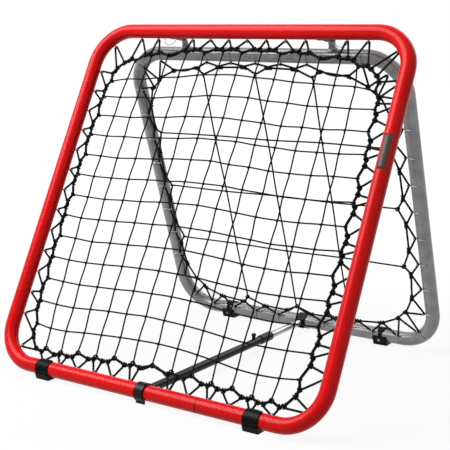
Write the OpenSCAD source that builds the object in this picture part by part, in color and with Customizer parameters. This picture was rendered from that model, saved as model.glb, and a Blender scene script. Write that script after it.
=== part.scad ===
// Folding rebound goal: two netted steel-tube rings hinged at the top,
// held apart at the bottom by a telescopic strut.

/* [Front frame] */
// Overall width of the front ring
front_w = 990; // [900:1:1200]
// Overall height of the front ring, measured along its own plane
front_h = 990; // [900:1:1200]
// Lean of the front ring above the ground, degrees
front_tilt = 62.4; // [58:0.1:66]

/* [Rear frame] */
// Overall width of the rear ring
rear_w = 877; // [820:1:1100]
// Height of the hinge pivot over the rear top tube's centre, along the ring's plane
strap_rise = 50; // [44:0.5:60]

/* [Tube] */
// Outside diameter of the ring tube
tube_d = 38; // [32:0.5:42]
// Wall of the ring tube
tube_wall = 1.5; // [1.2:0.1:2.5]
// Bend radius at the tube's centre line
bend_r = 100; // [85:1:110]
// Width of the butt seam where the two tube ends meet
seam_gap = 0.4; // [0.3:0.1:1]
// Distance of the seam from the middle of the bottom tube
seam_x = 164; // [90:1:200]
// Length of the sleeve inside the seam
sleeve_len = 120; // [60:5:140]

/* [Stance] */
// Distance between the two bottom tubes
spread = 757; // [700:1:800]
// Height of the bottom tubes above the ground
foot_lift = 7; // [6:0.5:14]

/* [Hooks] */
// Diameter of the hook wire
wire_d = 2.5; // [2:0.1:3]
// Free length at both ends of each upright side of the front ring
front_side_margin = 23.5; // [18:0.5:35]
// Free length at both ends of the front ring's top and bottom
front_cross_margin = 28; // [20:0.5:35]
// How far the upright sides' hooks sit above the middle
front_hook_shift = 4; // [0:0.5:6]
// Free length at both ends of each upright side of the rear ring
rear_side_margin = 5; // [4:0.5:15]
// Free length at both ends of the rear ring's top and bottom
rear_cross_margin = 7.5; // [4:0.5:12]
// Where the wire enters the tube, degrees from the inner face outwards
hook_foot_angle = 25; // [10:1:35]
// Where the wire lifts off the tube, degrees from the inner face towards the net
hook_end_angle = 50; // [42:1:55]

/* [Front net] */
// Size of one mesh
front_cell = 59; // [55:0.5:62]
// Diameter of the mesh cord
mesh_d = 3.5; // [2:0.1:4]
// Distance from the ring's centre line to the net's border rope
front_border_gap = 51; // [48:0.5:58]
// Diameter of the border rope
rope_d = 7; // [5:0.5:8]
// Diameter of the elastic lace
lace_d = 5; // [4:0.1:5.4]

/* [Rear net] */
// Size of one mesh
rear_cell = 173; // [165:0.5:176]
// Diameter of the rear net's cord
rear_mesh_d = 4; // [2:0.1:5]
// Distance from the ring's centre line to the border rope
rear_border_gap = 37; // [34:0.5:42]
// Diameter of the rear border rope
rear_rope_d = 5.5; // [4:0.5:6]

/* [Feet] */
// Length of a foot along the tube
foot_len = 41; // [30:1:44]
// Wall of a foot round the tube
foot_wall = 3.4; // [2.8:0.1:4]
// Distance of the front feet from the middle
front_foot_x = 316; // [300:1:330]
// Distance of the rear feet from the middle
rear_foot_x = 258; // [258:1:285]
// Width of a foot's flat sole
sole_w = 34; // [26:1:40]

/* [Hinge] */
// Distance of each hinge from the middle
hinge_x = 228; // [226:1:240]
// Distance of the pivot behind the front top tube's centre
pivot_off = 33; // [31:0.5:38]
// Thickness of the hinge strap
strap_t = 4; // [3:0.5:5]
// Width of the hinge strap
strap_w = 17; // [12:1:20]
// Diameter of the hinge pin
pin_d = 8; // [6:0.5:9]
// Wall of the plastic bush in the strap's eye
bush_wall = 1.5; // [1:0.1:2]
// Thickness of the bracket's cheeks and saddle
bracket_t = 3; // [2:0.5:3.5]
// Diameter of the keeper wire that holds the pin in
keeper_d = 2; // [1.5:0.1:2.5]

/* [Strut] */
// Outside diameter of the strut's outer tube
strut_d = 22; // [20:0.5:24]
// Wall of the strut's outer tube
strut_wall = 1.5; // [1:0.1:2]
// Distance from the front tube's centre to the start of the outer tube
strut_start = 30; // [28:1:40]
// Distance from the front tube's centre to the collar's far end
collar_end = 570; // [500:1:580]
// Length of the collar
collar_len = 57; // [40:1:70]
// Outside diameter of the collar
collar_d = 26; // [25:0.5:30]
// Diameter of the inner rod
rod_d = 18; // [16:0.5:18]
// Wall of the inner rod
rod_wall = 1.2; // [1:0.1:1.5]
// Length of the inner rod
rod_len = 320; // [300:1:360]
// Distance from the front tube's centre to the lock knob
knob_s = 484; // [440:1:490]
// Diameter of the lock knob
knob_d = 13; // [10:0.5:18]
// Length of a strut clip along the tube
clip_len = 26; // [20:1:32]
// Wall of a strut clip
clip_wall = 4.2; // [3:0.1:5]
// Extra slack of the rear clip round its tube
clip_slack = 1; // [1:0.1:1.6]

/* [Hidden] */
$fn = 48;

RED = [0.80, 0.07, 0.08];
STEEL_GREY = [0.46, 0.46, 0.46];
BRIGHT = [0.75, 0.75, 0.76];
BLACK = [0.06, 0.06, 0.06];

fit = 0.05;             // radial clearance of a close fit
loose = 0.3;            // clearance between pieces that move past each other
tube_r = tube_d / 2;
bore_r = tube_r - tube_wall;
base_z = tube_r + foot_lift;
front_cw = front_w - tube_d;
front_ch = front_h - tube_d;
rear_cw = rear_w - tube_d;

// Hinge: the bush, the eye that holds it, and the pivot seen from both rings
pin_r = pin_d / 2;
bush_r = pin_r + bush_wall;
eye_r = bush_r + fit + strap_t;
eye_proud = 0.3;        // how far the rolled eye stands out past the strap's flat
strap_set = eye_r - strap_t / 2 - eye_proud;
front_top = [-spread / 2 + front_ch * cos(front_tilt), base_z + front_ch * sin(front_tilt)];
pivot = front_top + pivot_off * [sin(front_tilt), -cos(front_tilt)];
reach = pivot - [spread / 2, base_z];

// The rear ring's height, cut to half a millimetre, its lean and the strap's eye
// close the triangle from ground to pivot
pivot_reach = sqrt(reach * reach - strap_set * strap_set);
rear_ch = round(2 * (pivot_reach - strap_rise)) / 2;
eye_rise = pivot_reach - rear_ch;
rear_tilt = atan2(reach[1], -reach[0]) + atan2(strap_set, pivot_reach);

// Hooks and the cords they carry
wire_r = wire_d / 2;
lace_r = lace_d / 2;
rope_r = rope_d / 2;
rear_rope_r = rear_rope_d / 2;
hook_run_r = tube_r + fit + wire_r;
crook_r = lace_r + wire_r + 0.35;
crook_sweep = 240;
bead_r = wire_r + 0.04;
bead_gap = 0.1;
net_y = (hook_run_r + crook_r) * cos(hook_end_angle);
hook_in = (hook_run_r + crook_r) * sin(hook_end_angle);
hole_r = wire_r + 0.7;  // drilled wide, so that the bent wire can be threaded in
apex_half = 4.2;        // half the lace's straight run through a hook
wire_clear = 6.5;       // depth past a hook's crook where a strand may lean back over it
cord_gap = 0.65;        // gap between the flats of lace and border rope
corner_out = 2;         // further gap at the corner ties

// Front net and rear net: border, meshes, knots and where the lace is tied
front_half = [front_cw / 2 - front_border_gap, front_ch / 2 - front_border_gap];
rear_half = [rear_cw / 2 - rear_border_gap, rear_ch / 2 - rear_border_gap];
front_lines = [for (i = [-6:6]) i];
rear_lines = [-1, 0, 1];
front_bulge = 3;
rear_bulge = 3;
front_tie_step = 0.1377;
rear_tie_step = 0.204;
front_corner_t = 0.965;
rear_corner_t = 0.95;
// How the border bows in, as shares: sides, top, bottom, and the extra at the corners
front_form = [0.028, 0.08, -0.08, 0.06];
rear_form = [0.03, 0.07, 0.05, 0.11];
front_shift = [-7, 7];  // from the ring's middle to the net's
rear_shift = [5, 5];
front_drop = [0, -13];  // from the net's middle to its middle cords

// Strut
strut_bore_r = strut_d / 2 - strut_wall;
collar_nose = 25;        // the collar's length past its tube
collar_seat = collar_len - collar_nose;
rod_bore_r = rod_d / 2 - rod_wall;
clip_r = tube_r + loose;
clip_out_r = clip_r + clip_wall;
rod_end = spread - strut_start;
spigot_len = 28;
rivet_r = 2;
rivet_s = 14;
guide_len = 14;

// ---------- placing ----------

// Ring coordinates: X along the tube, Y to the inside of the A, Z up along the ring
module front_place() {
    translate([0, -spread / 2, base_z]) rotate([front_tilt - 90, 0, 0]) children();
}

module rear_place() {
    translate([0, spread / 2, base_z]) rotate([90 - rear_tilt, 0, 0]) rotate([0, 0, 180]) children();
}

// Strut coordinates: origin at the front bottom tube's centre, Y along the strut
module strut_place() {
    translate([0, -spread / 2, base_z]) children();
}

// Turns the drawing plane into the Y-Z plane, with the extrusion along X
module across() {
    rotate([90, 0, 90]) children();
}

// An extrusion of a Y-Z outline, centred on X = 0
module slice(len) {
    across() translate([0, 0, -len / 2]) linear_extrude(len) children();
}

// ---------- ring geometry ----------

function turned(p, s) = [p[0] * cos(s) + p[1] * sin(s), -p[0] * sin(s) + p[1] * cos(s)];

// Middle of side k (0 bottom, 1 right, 2 top, 3 left) and its turn about Y
function side_mid(k, w, h) = [[0, 0], [w / 2, h / 2], [0, h], [-w / 2, h / 2]][k];
function side_turn(k) = -90 * k;
function corner_mid(k, w, h) =
    [[w / 2 - bend_r, bend_r], [w / 2 - bend_r, h - bend_r],
     [bend_r - w / 2, h - bend_r], [bend_r - w / 2, bend_r]][k]
    + turned([0, -bend_r], side_turn(k) - 45);

// Hook stations, in order round the ring: [side, index, x, z, turn]; index 99 is a corner
function stations(w, h, picks, steps, shifts) = [
    for (k = [0:3]) each concat(
        [for (i = picks[k]) let(p = side_mid(k, w, h) + turned([i * steps[k] + shifts[k], 0], side_turn(k)))
            [k, i, p[0], p[1], side_turn(k)]],
        [let(p = corner_mid(k, w, h)) [k, 99, p[0], p[1], side_turn(k) - 45]])];

front_steps = let(v = (front_ch - 2 * bend_r - 2 * front_side_margin) / 12,
    c = (front_cw - 2 * bend_r - 2 * front_cross_margin) / 12) [c, v, c, v];
rear_steps = let(v = (rear_ch - 2 * bend_r - 2 * rear_side_margin) / 8,
    c = (rear_cw - 2 * bend_r - 2 * rear_cross_margin) / 8) [c, v, c, v];
front_picks = [
    [for (i = [-6:6]) if (i != 0) i],
    [for (i = [-6:6]) i],
    [for (i = [-6:6]) if (abs(i) != 4) i],
    [for (i = [-6:6]) i]];
rear_picks = [
    [for (i = [-4:4]) if (i != 0) i],
    [for (i = [-4:4]) i],
    [for (i = [-4:4]) if (abs(i) != 3) i],
    [for (i = [-4:4]) i]];
front_shifts = [0, front_hook_shift, 0, -front_hook_shift];
front_stations = stations(front_cw, front_ch, front_picks, front_steps, front_shifts);
rear_stations = stations(rear_cw, rear_ch, rear_picks, rear_steps, [0, 0, 0, 0]);

module at_station(s) {
    translate([s[2], 0, s[3]]) rotate([0, s[4], 0]) children();
}

// A ring of round bar: four straight lengths and four quarter bends
module ring_bar(w, h, r) {
    for (k = [0:3]) {
        run = (k % 2 == 0 ? w : h) - 2 * bend_r;
        m = side_mid(k, w, h);
        translate([m[0], 0, m[1]]) rotate([0, side_turn(k), 0])
            translate([-run / 2, 0, 0]) rotate([0, 90, 0]) cylinder(r = r, h = run);
        c = side_mid(k, w, h) + turned([run / 2, bend_r], side_turn(k));
        translate([c[0], 0, c[1]]) rotate([0, side_turn(k), 0]) rotate([90, 0, 0])
            rotate([0, 0, -90]) rotate_extrude(angle = 90) translate([bend_r, 0]) circle(r = r);
    }
}

// The bent tube: hollow, drilled for hooks, foot screws and rivets, open at the seam
module ring_tube(w, h, hooks, foot_x, tilt, rivet_xs) {
    difference() {
        ring_bar(w, h, tube_r);
        ring_bar(w, h, bore_r);
        translate([seam_x - seam_gap / 2, -tube_r - 1, -tube_r - 1])
            cube([seam_gap, tube_d + 2, tube_d + 2]);
        for (s = hooks) at_station(s) hook_axis() cylinder(r = hole_r, h = tube_r + 1);
        for (x = [-foot_x, foot_x]) translate([x, 0, 0]) foot_screw_axis(tilt)
            cylinder(r = screw_r + fit, h = tube_r + 1);
        for (x = rivet_xs) translate([x, 0, h]) rotate([-90, 0, 0])
            cylinder(r = bracket_rivet_r + fit, h = tube_r + 1);
    }
}

// The sleeve that joins the two tube ends from inside, drilled where hooks enter it
module joint_sleeve(hooks) {
    difference() {
        translate([seam_x - sleeve_len / 2, 0, 0]) rotate([0, 90, 0]) cylinder(r = bore_r - fit, h = sleeve_len);
        translate([seam_x - sleeve_len / 2 - 1, 0, 0]) rotate([0, 90, 0])
            cylinder(r = bore_r - fit - tube_wall, h = sleeve_len + 2);
        for (s = hooks) if (s[0] == 0 && abs(s[2] - seam_x) < sleeve_len / 2 + hole_r)
            at_station(s) hook_axis() cylinder(r = hole_r, h = tube_r);
    }
}

// ---------- hooks ----------

// Points Z along the wire's radial foot
module hook_axis() {
    across() rotate([0, 0, -hook_foot_angle]) rotate([0, 90, 0]) children();
}

// An arc of wire about the origin, a hair short at both ends of its sweep
module wire_arc(r, from, to) {
    short = bead_gap / r * 180 / PI;
    rotate([0, 0, from + short]) rotate_extrude(angle = to - from - 2 * short)
        translate([r, 0]) circle(r = wire_r, $fn = 24);
}

// One wire hook: foot in the tube, run round the tube's skin, crook that holds the lace,
// with a bead a hair thicker than the wire where the bends meet
module hook() {
    across() {
        rotate([0, 0, -hook_foot_angle]) {
            translate([bore_r - 3, 0, 0]) rotate([0, 90, 0])
                cylinder(r = wire_r, h = hook_run_r - bore_r + 3 - bead_gap, $fn = 24);
            translate([hook_run_r, 0, 0]) sphere(r = bead_r, $fn = 24);
        }
        wire_arc(hook_run_r, -hook_foot_angle, hook_end_angle);
        rotate([0, 0, hook_end_angle]) {
            translate([hook_run_r, 0, 0]) sphere(r = bead_r, $fn = 24);
            translate([hook_run_r + crook_r, 0, 0]) wire_arc(crook_r, 180 - crook_sweep, 180);
        }
    }
}

module hooks(list) {
    for (s = list) at_station(s) hook();
}

// ---------- net and lace ----------

// Place in the net of a share [u, v] of its half size: each border bows, and the corners are cut
function bowed(uv, half, front) =
    let(form = front ? front_form : rear_form, cut = 1 - form[3] * pow(uv[0] * uv[1], 8),
        level = uv[1] > 0 ? form[1] : form[2])
    (front ? front_shift : rear_shift) + cut * [
        half[0] * uv[0] * (1 - form[0] * pow(uv[1], 2) * pow(uv[0], 4)),
        half[1] * uv[1] * (1 - level * pow(uv[0], 2) * pow(uv[1], 4))];

function side_uv(k, t) = [[t, -1], [1, t], [-t, 1], [-1, -t]][k];

// Point of the border on side k at share t, moved out by d
function border(k, t, half, d, front) =
    let(a = bowed(side_uv(k, t - 0.01), half, front), b = bowed(side_uv(k, t + 0.01), half, front),
        run = (b - a) / norm(b - a))
    bowed(side_uv(k, t), half, front) + d * [run[1], -run[0]];

function along(k, half) = half[k % 2];

// A move by v seen along side k, as a share
function move_t(k, v, half) = [v[0], v[1], -v[0], -v[1]][k] / along(k, half);

// Share on side k of a mesh cord's end, and of one tie of the lace at a hook
function cord_t(k, i, cell, half, front) =
    i * cell / along(k, half) + move_t(k, front ? front_drop : [0, 0], half);
function tie_t(k, i, m, step, half, front) =
    i * step + m * tie_of(i, front) / along(k, half) - move_t(k, front ? front_shift : rear_shift, half);

// Insertion by halves: a list of [t, d] pairs in rising order of t
function sorted(a) = len(a) < 2 ? a : let(m = a[floor(len(a) / 2)][0])
    concat(sorted([for (e = a) if (e[0] < m) e]), [for (e = a) if (e[0] == m) e], sorted([for (e = a) if (e[0] > m) e]));

// How far a knot pulls the border in, and half the spread of a lace tie
function front_pull(i) = abs(i) % 2 == 1 ? 4 : 9;
function rear_pull(i) = 16;
function front_tie(i) = (abs(i) % 2 == 1 ? 0.24 : 0.44) * front_cell;
function rear_tie(i) = 35;
function pull_of(i, front) = front ? front_pull(i) : rear_pull(i);
function tie_of(i, front) = front ? front_tie(i) : rear_tie(i);

// The border rope's points on side k: lace ties bulge out and mesh knots draw in
function border_side(k, front, half, lines, cell, picks, step, bulge, corner) = [
    for (e = sorted(concat(
        [for (i = picks[k], m = [-1, 1]) [tie_t(k, i, m, step, half, front), bulge]],
        [for (i = lines) [cord_t(k, i, cell, half, front), -pull_of(i, front)]],
        [[-corner, bulge / 2], [corner, bulge / 2]])))
    border(k, e[0], half, e[1], front)];

function border_loop(front, half, lines, cell, picks, step, bulge, corner) =
    [for (k = [0:3]) each border_side(k, front, half, lines, cell, picks, step, bulge, corner)];

// A strand whose tie lies back over the hook's wire first runs straight past it
function past_wire(p, apex, turn, m) =
    m * turned(p - apex, -turn)[0] < apex_half ? [apex + turned([m * apex_half, hook_in + wire_clear], turn)] : [];

// The lace: tie on the border, across to the hook, through it and back to the border
function lace_loop(front, half, list, step, bulge, corner, off, mid) = [
    for (s = list)
        let(k = s[0], next = (k + 1) % 4, apex = [s[2], s[3]] - mid,
            a = s[1] == 99 ? border(k, corner, half, bulge / 2 + off + corner_out, front)
                : border(k, tie_t(k, s[1], -1, step, half, front), half, bulge + off, front),
            b = s[1] == 99 ? border(next, -corner, half, bulge / 2 + off + corner_out, front)
                : border(k, tie_t(k, s[1], 1, step, half, front), half, bulge + off, front))
        each concat([a], past_wire(a, apex, s[4], -1),
            [for (m = [-1, 1]) apex + turned([m * apex_half, hook_in], s[4])],
            past_wire(b, apex, s[4], 1), [b])];

// A closed cord along a flat loop of points, with mitred rings of n corners
module cord_loop(pts, r, n) {
    m = len(pts);
    rings = [for (i = [0:m - 1])
        let(p = pts[i], a = p - pts[(i + m - 1) % m], b = pts[(i + 1) % m] - p,
            ta = a / norm(a), tb = b / norm(b), t = (ta + tb) / norm(ta + tb),
            side = [t[1], -t[0]], grow = 1 / (ta * t))
        for (j = [0:n - 1]) let(c = 360 * (j + 0.5) / n)
            [p[0] + side[0] * grow * r * cos(c), r * sin(c), p[1] + side[1] * grow * r * cos(c)]];
    faces = [for (i = [0:m - 1], j = [0:n - 1])
        let(a = i * n + j, b = i * n + (j + 1) % n, c = ((i + 1) % m) * n + (j + 1) % n, d = ((i + 1) % m) * n + j)
        each [[a, c, b], [a, d, c]]];
    polyhedron(points = rings, faces = faces);
}

// The meshes: every cord is a four-cornered bar, and crossings share their corners.
// A crossing has six points: front, back and one in each angle between the cords.
module mesh(half, lines, cell, r, front) {
    n = len(lines);
    function knot(i, j) = bowed([cord_t(0, lines[i], cell, half, front), cord_t(1, lines[j], cell, half, front)],
        half, front);
    function end(k, i) = border(k, cord_t(k, k < 2 ? lines[i] : -lines[i], cell, half, front), half,
        -pull_of(lines[i], front), front);
    function xyz(p, y) = [p[0], y, p[1]];
    crossings = [for (i = [0:n - 1], j = [0:n - 1]) let(p = knot(i, j))
        each concat([xyz(p, r), xyz(p, -r)],
            [for (c = [[1, 1], [-1, 1], [-1, -1], [1, -1]]) xyz(p + 0.75 * r * c, 0)])];
    ends = [for (k = [0:3], i = [0:n - 1]) let(p = end(k, i), s = k % 2 == 0 ? [1, 0] : [0, 1])
        each [xyz(p, r), xyz(p, -r), xyz(p + r * s, 0), xyz(p - r * s, 0)]];
    function at(i, j) = 6 * (i * n + j);
    function tip(k, i) = 6 * n * n + 4 * (k * n + i);
    // Each ring of four runs front, right, back, left, seen along the cord
    function right_of(i, j) = let(o = at(i, j)) [o, o + 2, o + 1, o + 5];
    function left_end(i, j) = let(o = at(i, j)) [o, o + 3, o + 1, o + 4];
    function up_of(i, j) = let(o = at(i, j)) [o, o + 3, o + 1, o + 2];
    function down_end(i, j) = let(o = at(i, j)) [o, o + 4, o + 1, o + 5];
    function tip_up(k, i) = let(o = tip(k, i)) [o, o + 3, o + 1, o + 2];
    function tip_across(k, i) = let(o = tip(k, i)) [o, o + 2, o + 1, o + 3];
    function bar(a, b) = [for (q = [0:3]) let(w = (q + 1) % 4) each [[a[q], b[w], a[w]], [a[q], b[q], b[w]]]];
    function cap(a) = [[a[0], a[1], a[2]], [a[0], a[2], a[3]]];
    function lid(a) = [[a[0], a[2], a[1]], [a[0], a[3], a[2]]];
    faces = concat(
        [for (i = [0:n - 2], j = [0:n - 1]) each bar(right_of(i, j), left_end(i + 1, j))],
        [for (i = [0:n - 1], j = [0:n - 2]) each bar(up_of(i, j), down_end(i, j + 1))],
        [for (j = [0:n - 1]) each concat(
            bar(tip_across(3, j), left_end(0, j)), cap(tip_across(3, j)),
            bar(right_of(n - 1, j), tip_across(1, j)), lid(tip_across(1, j)))],
        [for (i = [0:n - 1]) each concat(
            bar(tip_up(0, i), down_end(i, 0)), cap(tip_up(0, i)),
            bar(up_of(i, n - 1), tip_up(2, i)), lid(tip_up(2, i)))]);
    polyhedron(points = concat(crossings, ends), faces = faces);
}

front_mid = [0, front_ch / 2];
rear_mid = [0, rear_ch / 2];

// Joins the mesh's cord ends to the border rope as one surface, at their own size
module knotted() {
    resize([0, 0, 0]) union() children();
}

module front_net() {
    color(BLACK) front_place() translate([0, net_y, front_ch / 2]) knotted() {
        mesh(front_half, front_lines, front_cell, mesh_d / 2, true);
        cord_loop(border_loop(true, front_half, front_lines, front_cell, front_picks, front_tie_step,
            front_bulge, front_corner_t), rope_r, 6);
    }
}

module front_lace() {
    color(BLACK) front_place() translate([0, net_y, front_ch / 2])
        cord_loop(lace_loop(true, front_half, front_stations, front_tie_step, front_bulge,
            front_corner_t, (rope_r + lace_r) * cos(30) + cord_gap, front_mid), lace_r, 6);
}

module rear_net() {
    color(BLACK) rear_place() translate([0, net_y, rear_ch / 2]) knotted() {
        mesh(rear_half, rear_lines, rear_cell, rear_mesh_d / 2, false);
        cord_loop(border_loop(false, rear_half, rear_lines, rear_cell, rear_picks, rear_tie_step,
            rear_bulge, rear_corner_t), rear_rope_r, 6);
    }
}

module rear_lace() {
    color(BLACK) rear_place() translate([0, net_y, rear_ch / 2])
        cord_loop(lace_loop(false, rear_half, rear_stations, rear_tie_step, rear_bulge,
            rear_corner_t, (rear_rope_r + lace_r) * cos(30) + cord_gap, rear_mid), lace_r, 6);
}

// ---------- feet ----------

screw_r = 1.9;
screw_head_r = 4;
screw_head_t = 2.4;
screw_drop = 21;        // the screw points this far below level, degrees
foot_out_r = tube_r + foot_wall;
block_in = 3;           // how far the screw block stands out from the band
block_h = 13;
neck_w = 10;
bar_w = 19;
rib_count = 7;
rib_share = 0.6;

// Foot coordinates: origin at the tube's centre, Z up, Y to the inside of the A
module foot_screw_axis(tilt) {
    rotate([90 - tilt, 0, 0]) level_screw_axis() children();
}

module level_screw_axis() {
    across() rotate([0, 0, -screw_drop]) rotate([0, 90, 0]) children();
}

// A clamp-on foot: ribbed outer shell, flat sole, screw block and T-shaped strap inside
module foot() {
    rib = foot_len / rib_count;
    difference() {
        union() {
            slice(foot_len) circle(r = foot_out_r - 0.6);
            for (i = [0:rib_count - 1]) translate([(i - (rib_count - 1) / 2) * rib, 0, 0])
                slice(rib * rib_share) circle(r = foot_out_r);
            slice(foot_len) polygon([[-sole_w / 2, -base_z], [sole_w / 2, -base_z],
                [foot_out_r - 1, -tube_r * 0.55], [1 - foot_out_r, -tube_r * 0.55]]);
            slice(foot_len - 4) rotate(-screw_drop) translate([0, -block_h / 2])
                square([foot_out_r + block_in, block_h]);
        }
        slice(foot_len + 2) circle(r = tube_r + fit);
        for (m = [-1, 1]) {
            translate([m * (neck_w / 2 + foot_len / 2), foot_out_r / 2 + 7, foot_out_r * 0.32])
                cube([foot_len, foot_out_r + 0.1, foot_out_r * 0.64], center = true);
            translate([m * (bar_w / 2 + foot_len / 2), foot_out_r / 2 + 3, foot_out_r * 0.82])
                cube([foot_len, foot_out_r + 0.1, foot_out_r * 0.44], center = true);
        }
        level_screw_axis() cylinder(r = screw_r + fit, h = 2 * tube_r);
    }
}

// The screw that holds a foot: pan head and shank into the tube wall
module foot_screw() {
    head_at = foot_out_r + block_in;
    level_screw_axis() {
        translate([0, 0, tube_r - 6]) cylinder(r = screw_r, h = head_at - tube_r + 6.2);
        translate([0, 0, head_at]) difference() {
            cylinder(r = screw_head_r, h = screw_head_t);
            for (a = [0, 90]) rotate([0, 0, a]) translate([0, 0, screw_head_t])
                cube([screw_head_r * 1.1, 1, 2.4], center = true);
        }
    }
}

module front_foot_at(x) {
    color(BLACK) strut_place() translate([x, 0, 0]) foot();
}

module rear_foot_at(x) {
    color(BLACK) translate([0, spread / 2, base_z]) rotate([0, 0, 180]) translate([-x, 0, 0]) foot();
}

module front_foot_screws() {
    color(BRIGHT) strut_place() for (x = [-front_foot_x, front_foot_x]) translate([x, 0, 0]) foot_screw();
}

module rear_foot_screws() {
    color(BRIGHT) translate([0, spread / 2, base_z]) rotate([0, 0, 180])
        for (x = [-rear_foot_x, rear_foot_x]) translate([x, 0, 0]) foot_screw();
}

// ---------- hinge ----------

cheek_in = strap_w / 2 + 0.5;
cheek_out = cheek_in + bracket_t;
saddle_w = 2 * cheek_out + 20;
saddle_half = tube_r * 0.8;
pin_head_t = 3;
pin_tail = 12;
bracket_rivet_r = 2.4;
rivet_off = cheek_out + 5;

// Bracket on the back of the front top tube: saddle, two cheeks and the pin's bores
module bracket() {
    difference() {
        union() {
            intersection() {
                slice(saddle_w) circle(r = tube_r + fit + bracket_t);
                slice(saddle_w) translate([tube_r * 0.6, -saddle_half]) square([tube_r, 2 * saddle_half]);
            }
            for (m = [-1, 1]) translate([m * (cheek_in + bracket_t / 2), 0, 0]) slice(bracket_t) {
                polygon([[tube_r * 0.6, -saddle_half], [pivot_off, -eye_r + 1],
                    [pivot_off, eye_r - 1], [tube_r * 0.6, saddle_half]]);
                translate([pivot_off, 0]) circle(r = eye_r - 1);
            }
        }
        slice(saddle_w + 2) circle(r = tube_r + fit);
        slice(saddle_w + 2) translate([pivot_off, 0]) circle(r = pin_r + fit);
        for (m = [-1, 1]) translate([m * rivet_off, 0, 0]) rotate([-90, 0, 0])
            cylinder(r = bracket_rivet_r + fit, h = 2 * tube_r);
    }
}

// Blind rivets through the saddle and the tube's wall, domed head outside
module bracket_rivets_at() {
    seat = tube_r + fit + bracket_t;
    for (m = [-1, 1]) translate([m * rivet_off, 0, 0]) rotate([-90, 0, 0]) {
        translate([0, 0, bore_r - 3]) cylinder(r = bracket_rivet_r, h = seat - bore_r + 3);
        intersection() {
            translate([0, 0, seat - 3.3]) sphere(r = 5.4);
            translate([0, 0, seat]) cylinder(r = 4.6, h = 3);
        }
    }
}

module on_front_hinge(m) {
    front_place() translate([m * hinge_x, 0, front_ch]) children();
}

module hinge_bracket(m) {
    color(BLACK) on_front_hinge(m) bracket();
}

module hinge_bracket_rivets() {
    color(BRIGHT) for (m = [-1, 1]) on_front_hinge(m) bracket_rivets_at();
}

// Clevis pin: head towards the middle, tail with a cross bore for the keeper
module hinge_pin(m) {
    color(BRIGHT) on_front_hinge(m) translate([0, pivot_off, 0]) mirror([m < 0 ? 1 : 0, 0, 0])
        rotate([0, 90, 0]) difference() {
            union() {
                translate([0, 0, -cheek_out - 0.2 - pin_head_t]) cylinder(r = pin_r + 2.5, h = pin_head_t);
                translate([0, 0, -cheek_out - 0.2]) cylinder(r = pin_r, h = 2 * cheek_out + 0.2 + pin_tail);
            }
            translate([-2 * pin_r, 0, cheek_out + pin_tail / 2]) rotate([0, 90, 0])
                cylinder(r = keeper_d / 2 + 0.15, h = 4 * pin_r);
        }
}

keeper_r = 19;
keeper_sweep = 205;

// Spring-wire keeper: through the pin's cross bore and round in a bow beside it
module pin_keeper(m) {
    color(BRIGHT) on_front_hinge(m) translate([0, pivot_off, 0]) mirror([m < 0 ? 1 : 0, 0, 0])
        translate([cheek_out + pin_tail / 2, 0, 0]) {
            translate([0, 0, -pin_r - 1]) cylinder(r = keeper_d / 2, h = 2 * pin_r + 2);
            translate([keeper_r, 0, -pin_r - 1]) rotate([90, 0, 0]) rotate([0, 0, 180])
                rotate_extrude(angle = keeper_sweep) translate([keeper_r, 0]) circle(r = keeper_d / 2);
        }
}

module on_rear_hinge(m) {
    rear_place() translate([-m * hinge_x, 0, rear_ch]) children();
}

// Strap: an eye rolled round the bush, a flat run and a saddle welded on the tube
module strap() {
    saddle_r = tube_r + fit + strap_t * 0.75;
    weld = 5;
    difference() {
        union() {
            slice(strap_w) translate([strap_set, eye_rise]) circle(r = eye_r);
            slice(strap_w) translate([-strap_t / 2, tube_r]) square([strap_t, eye_rise - tube_r]);
            intersection() {
                slice(strap_w) circle(r = saddle_r);
                slice(strap_w) polygon([[0, 0], [-saddle_r, saddle_r * 1.4], [saddle_r, saddle_r * 1.4]]);
            }
            slice(strap_w) polygon([[-strap_t / 2 - weld, saddle_r - 2], [-strap_t / 2 - 0.5, saddle_r + weld],
                [strap_t / 2 + 0.5, saddle_r + weld], [strap_t / 2 + weld, saddle_r - 2]]);
        }
        slice(strap_w + 2) translate([strap_set, eye_rise]) circle(r = bush_r + fit);
        slice(strap_w + 2) circle(r = tube_r + fit);
    }
}

module hinge_strap(m) {
    color(STEEL_GREY) on_rear_hinge(m) strap();
}

// Plastic bush pressed into the strap's eye
module hinge_bush(m) {
    color(BLACK) on_rear_hinge(m) slice(strap_w) translate([strap_set, eye_rise]) difference() {
        circle(r = bush_r);
        circle(r = pin_r + fit);
    }
}

// ---------- strut ----------

clip_mouth_from = 240;  // the snap mouth, degrees from the strut, round over the top
clip_mouth_to = 330;
lip_len = 5.2;
lip_in = 1.6;           // where a lip starts in the jaw's wall

// Y-Z outline of a snap clip: C-shaped jaw with a flared lip at both ends of its mouth.
// Slack widens the bore and sets it forward and up, so the tube can shift that way in it.
module clip_outline(slack) {
    difference() {
        circle(r = clip_out_r);
        translate(slack * [0.6, 0.75]) circle(r = clip_r + slack);
        polygon([[0, 0], 2 * clip_out_r * [cos(clip_mouth_from), sin(clip_mouth_from)],
            3 * clip_out_r * [cos(285), sin(285)], 2 * clip_out_r * [cos(clip_mouth_to), sin(clip_mouth_to)]]);
    }
    rotate(clip_mouth_from) translate([clip_r + lip_in, -0.5]) rotate(8)
        square([clip_wall + lip_len - lip_in, 3]);
    rotate(clip_mouth_to) translate([clip_r + lip_in, -2.5]) rotate(-8)
        square([clip_wall + lip_len - 1 - lip_in, 3]);
}

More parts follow.
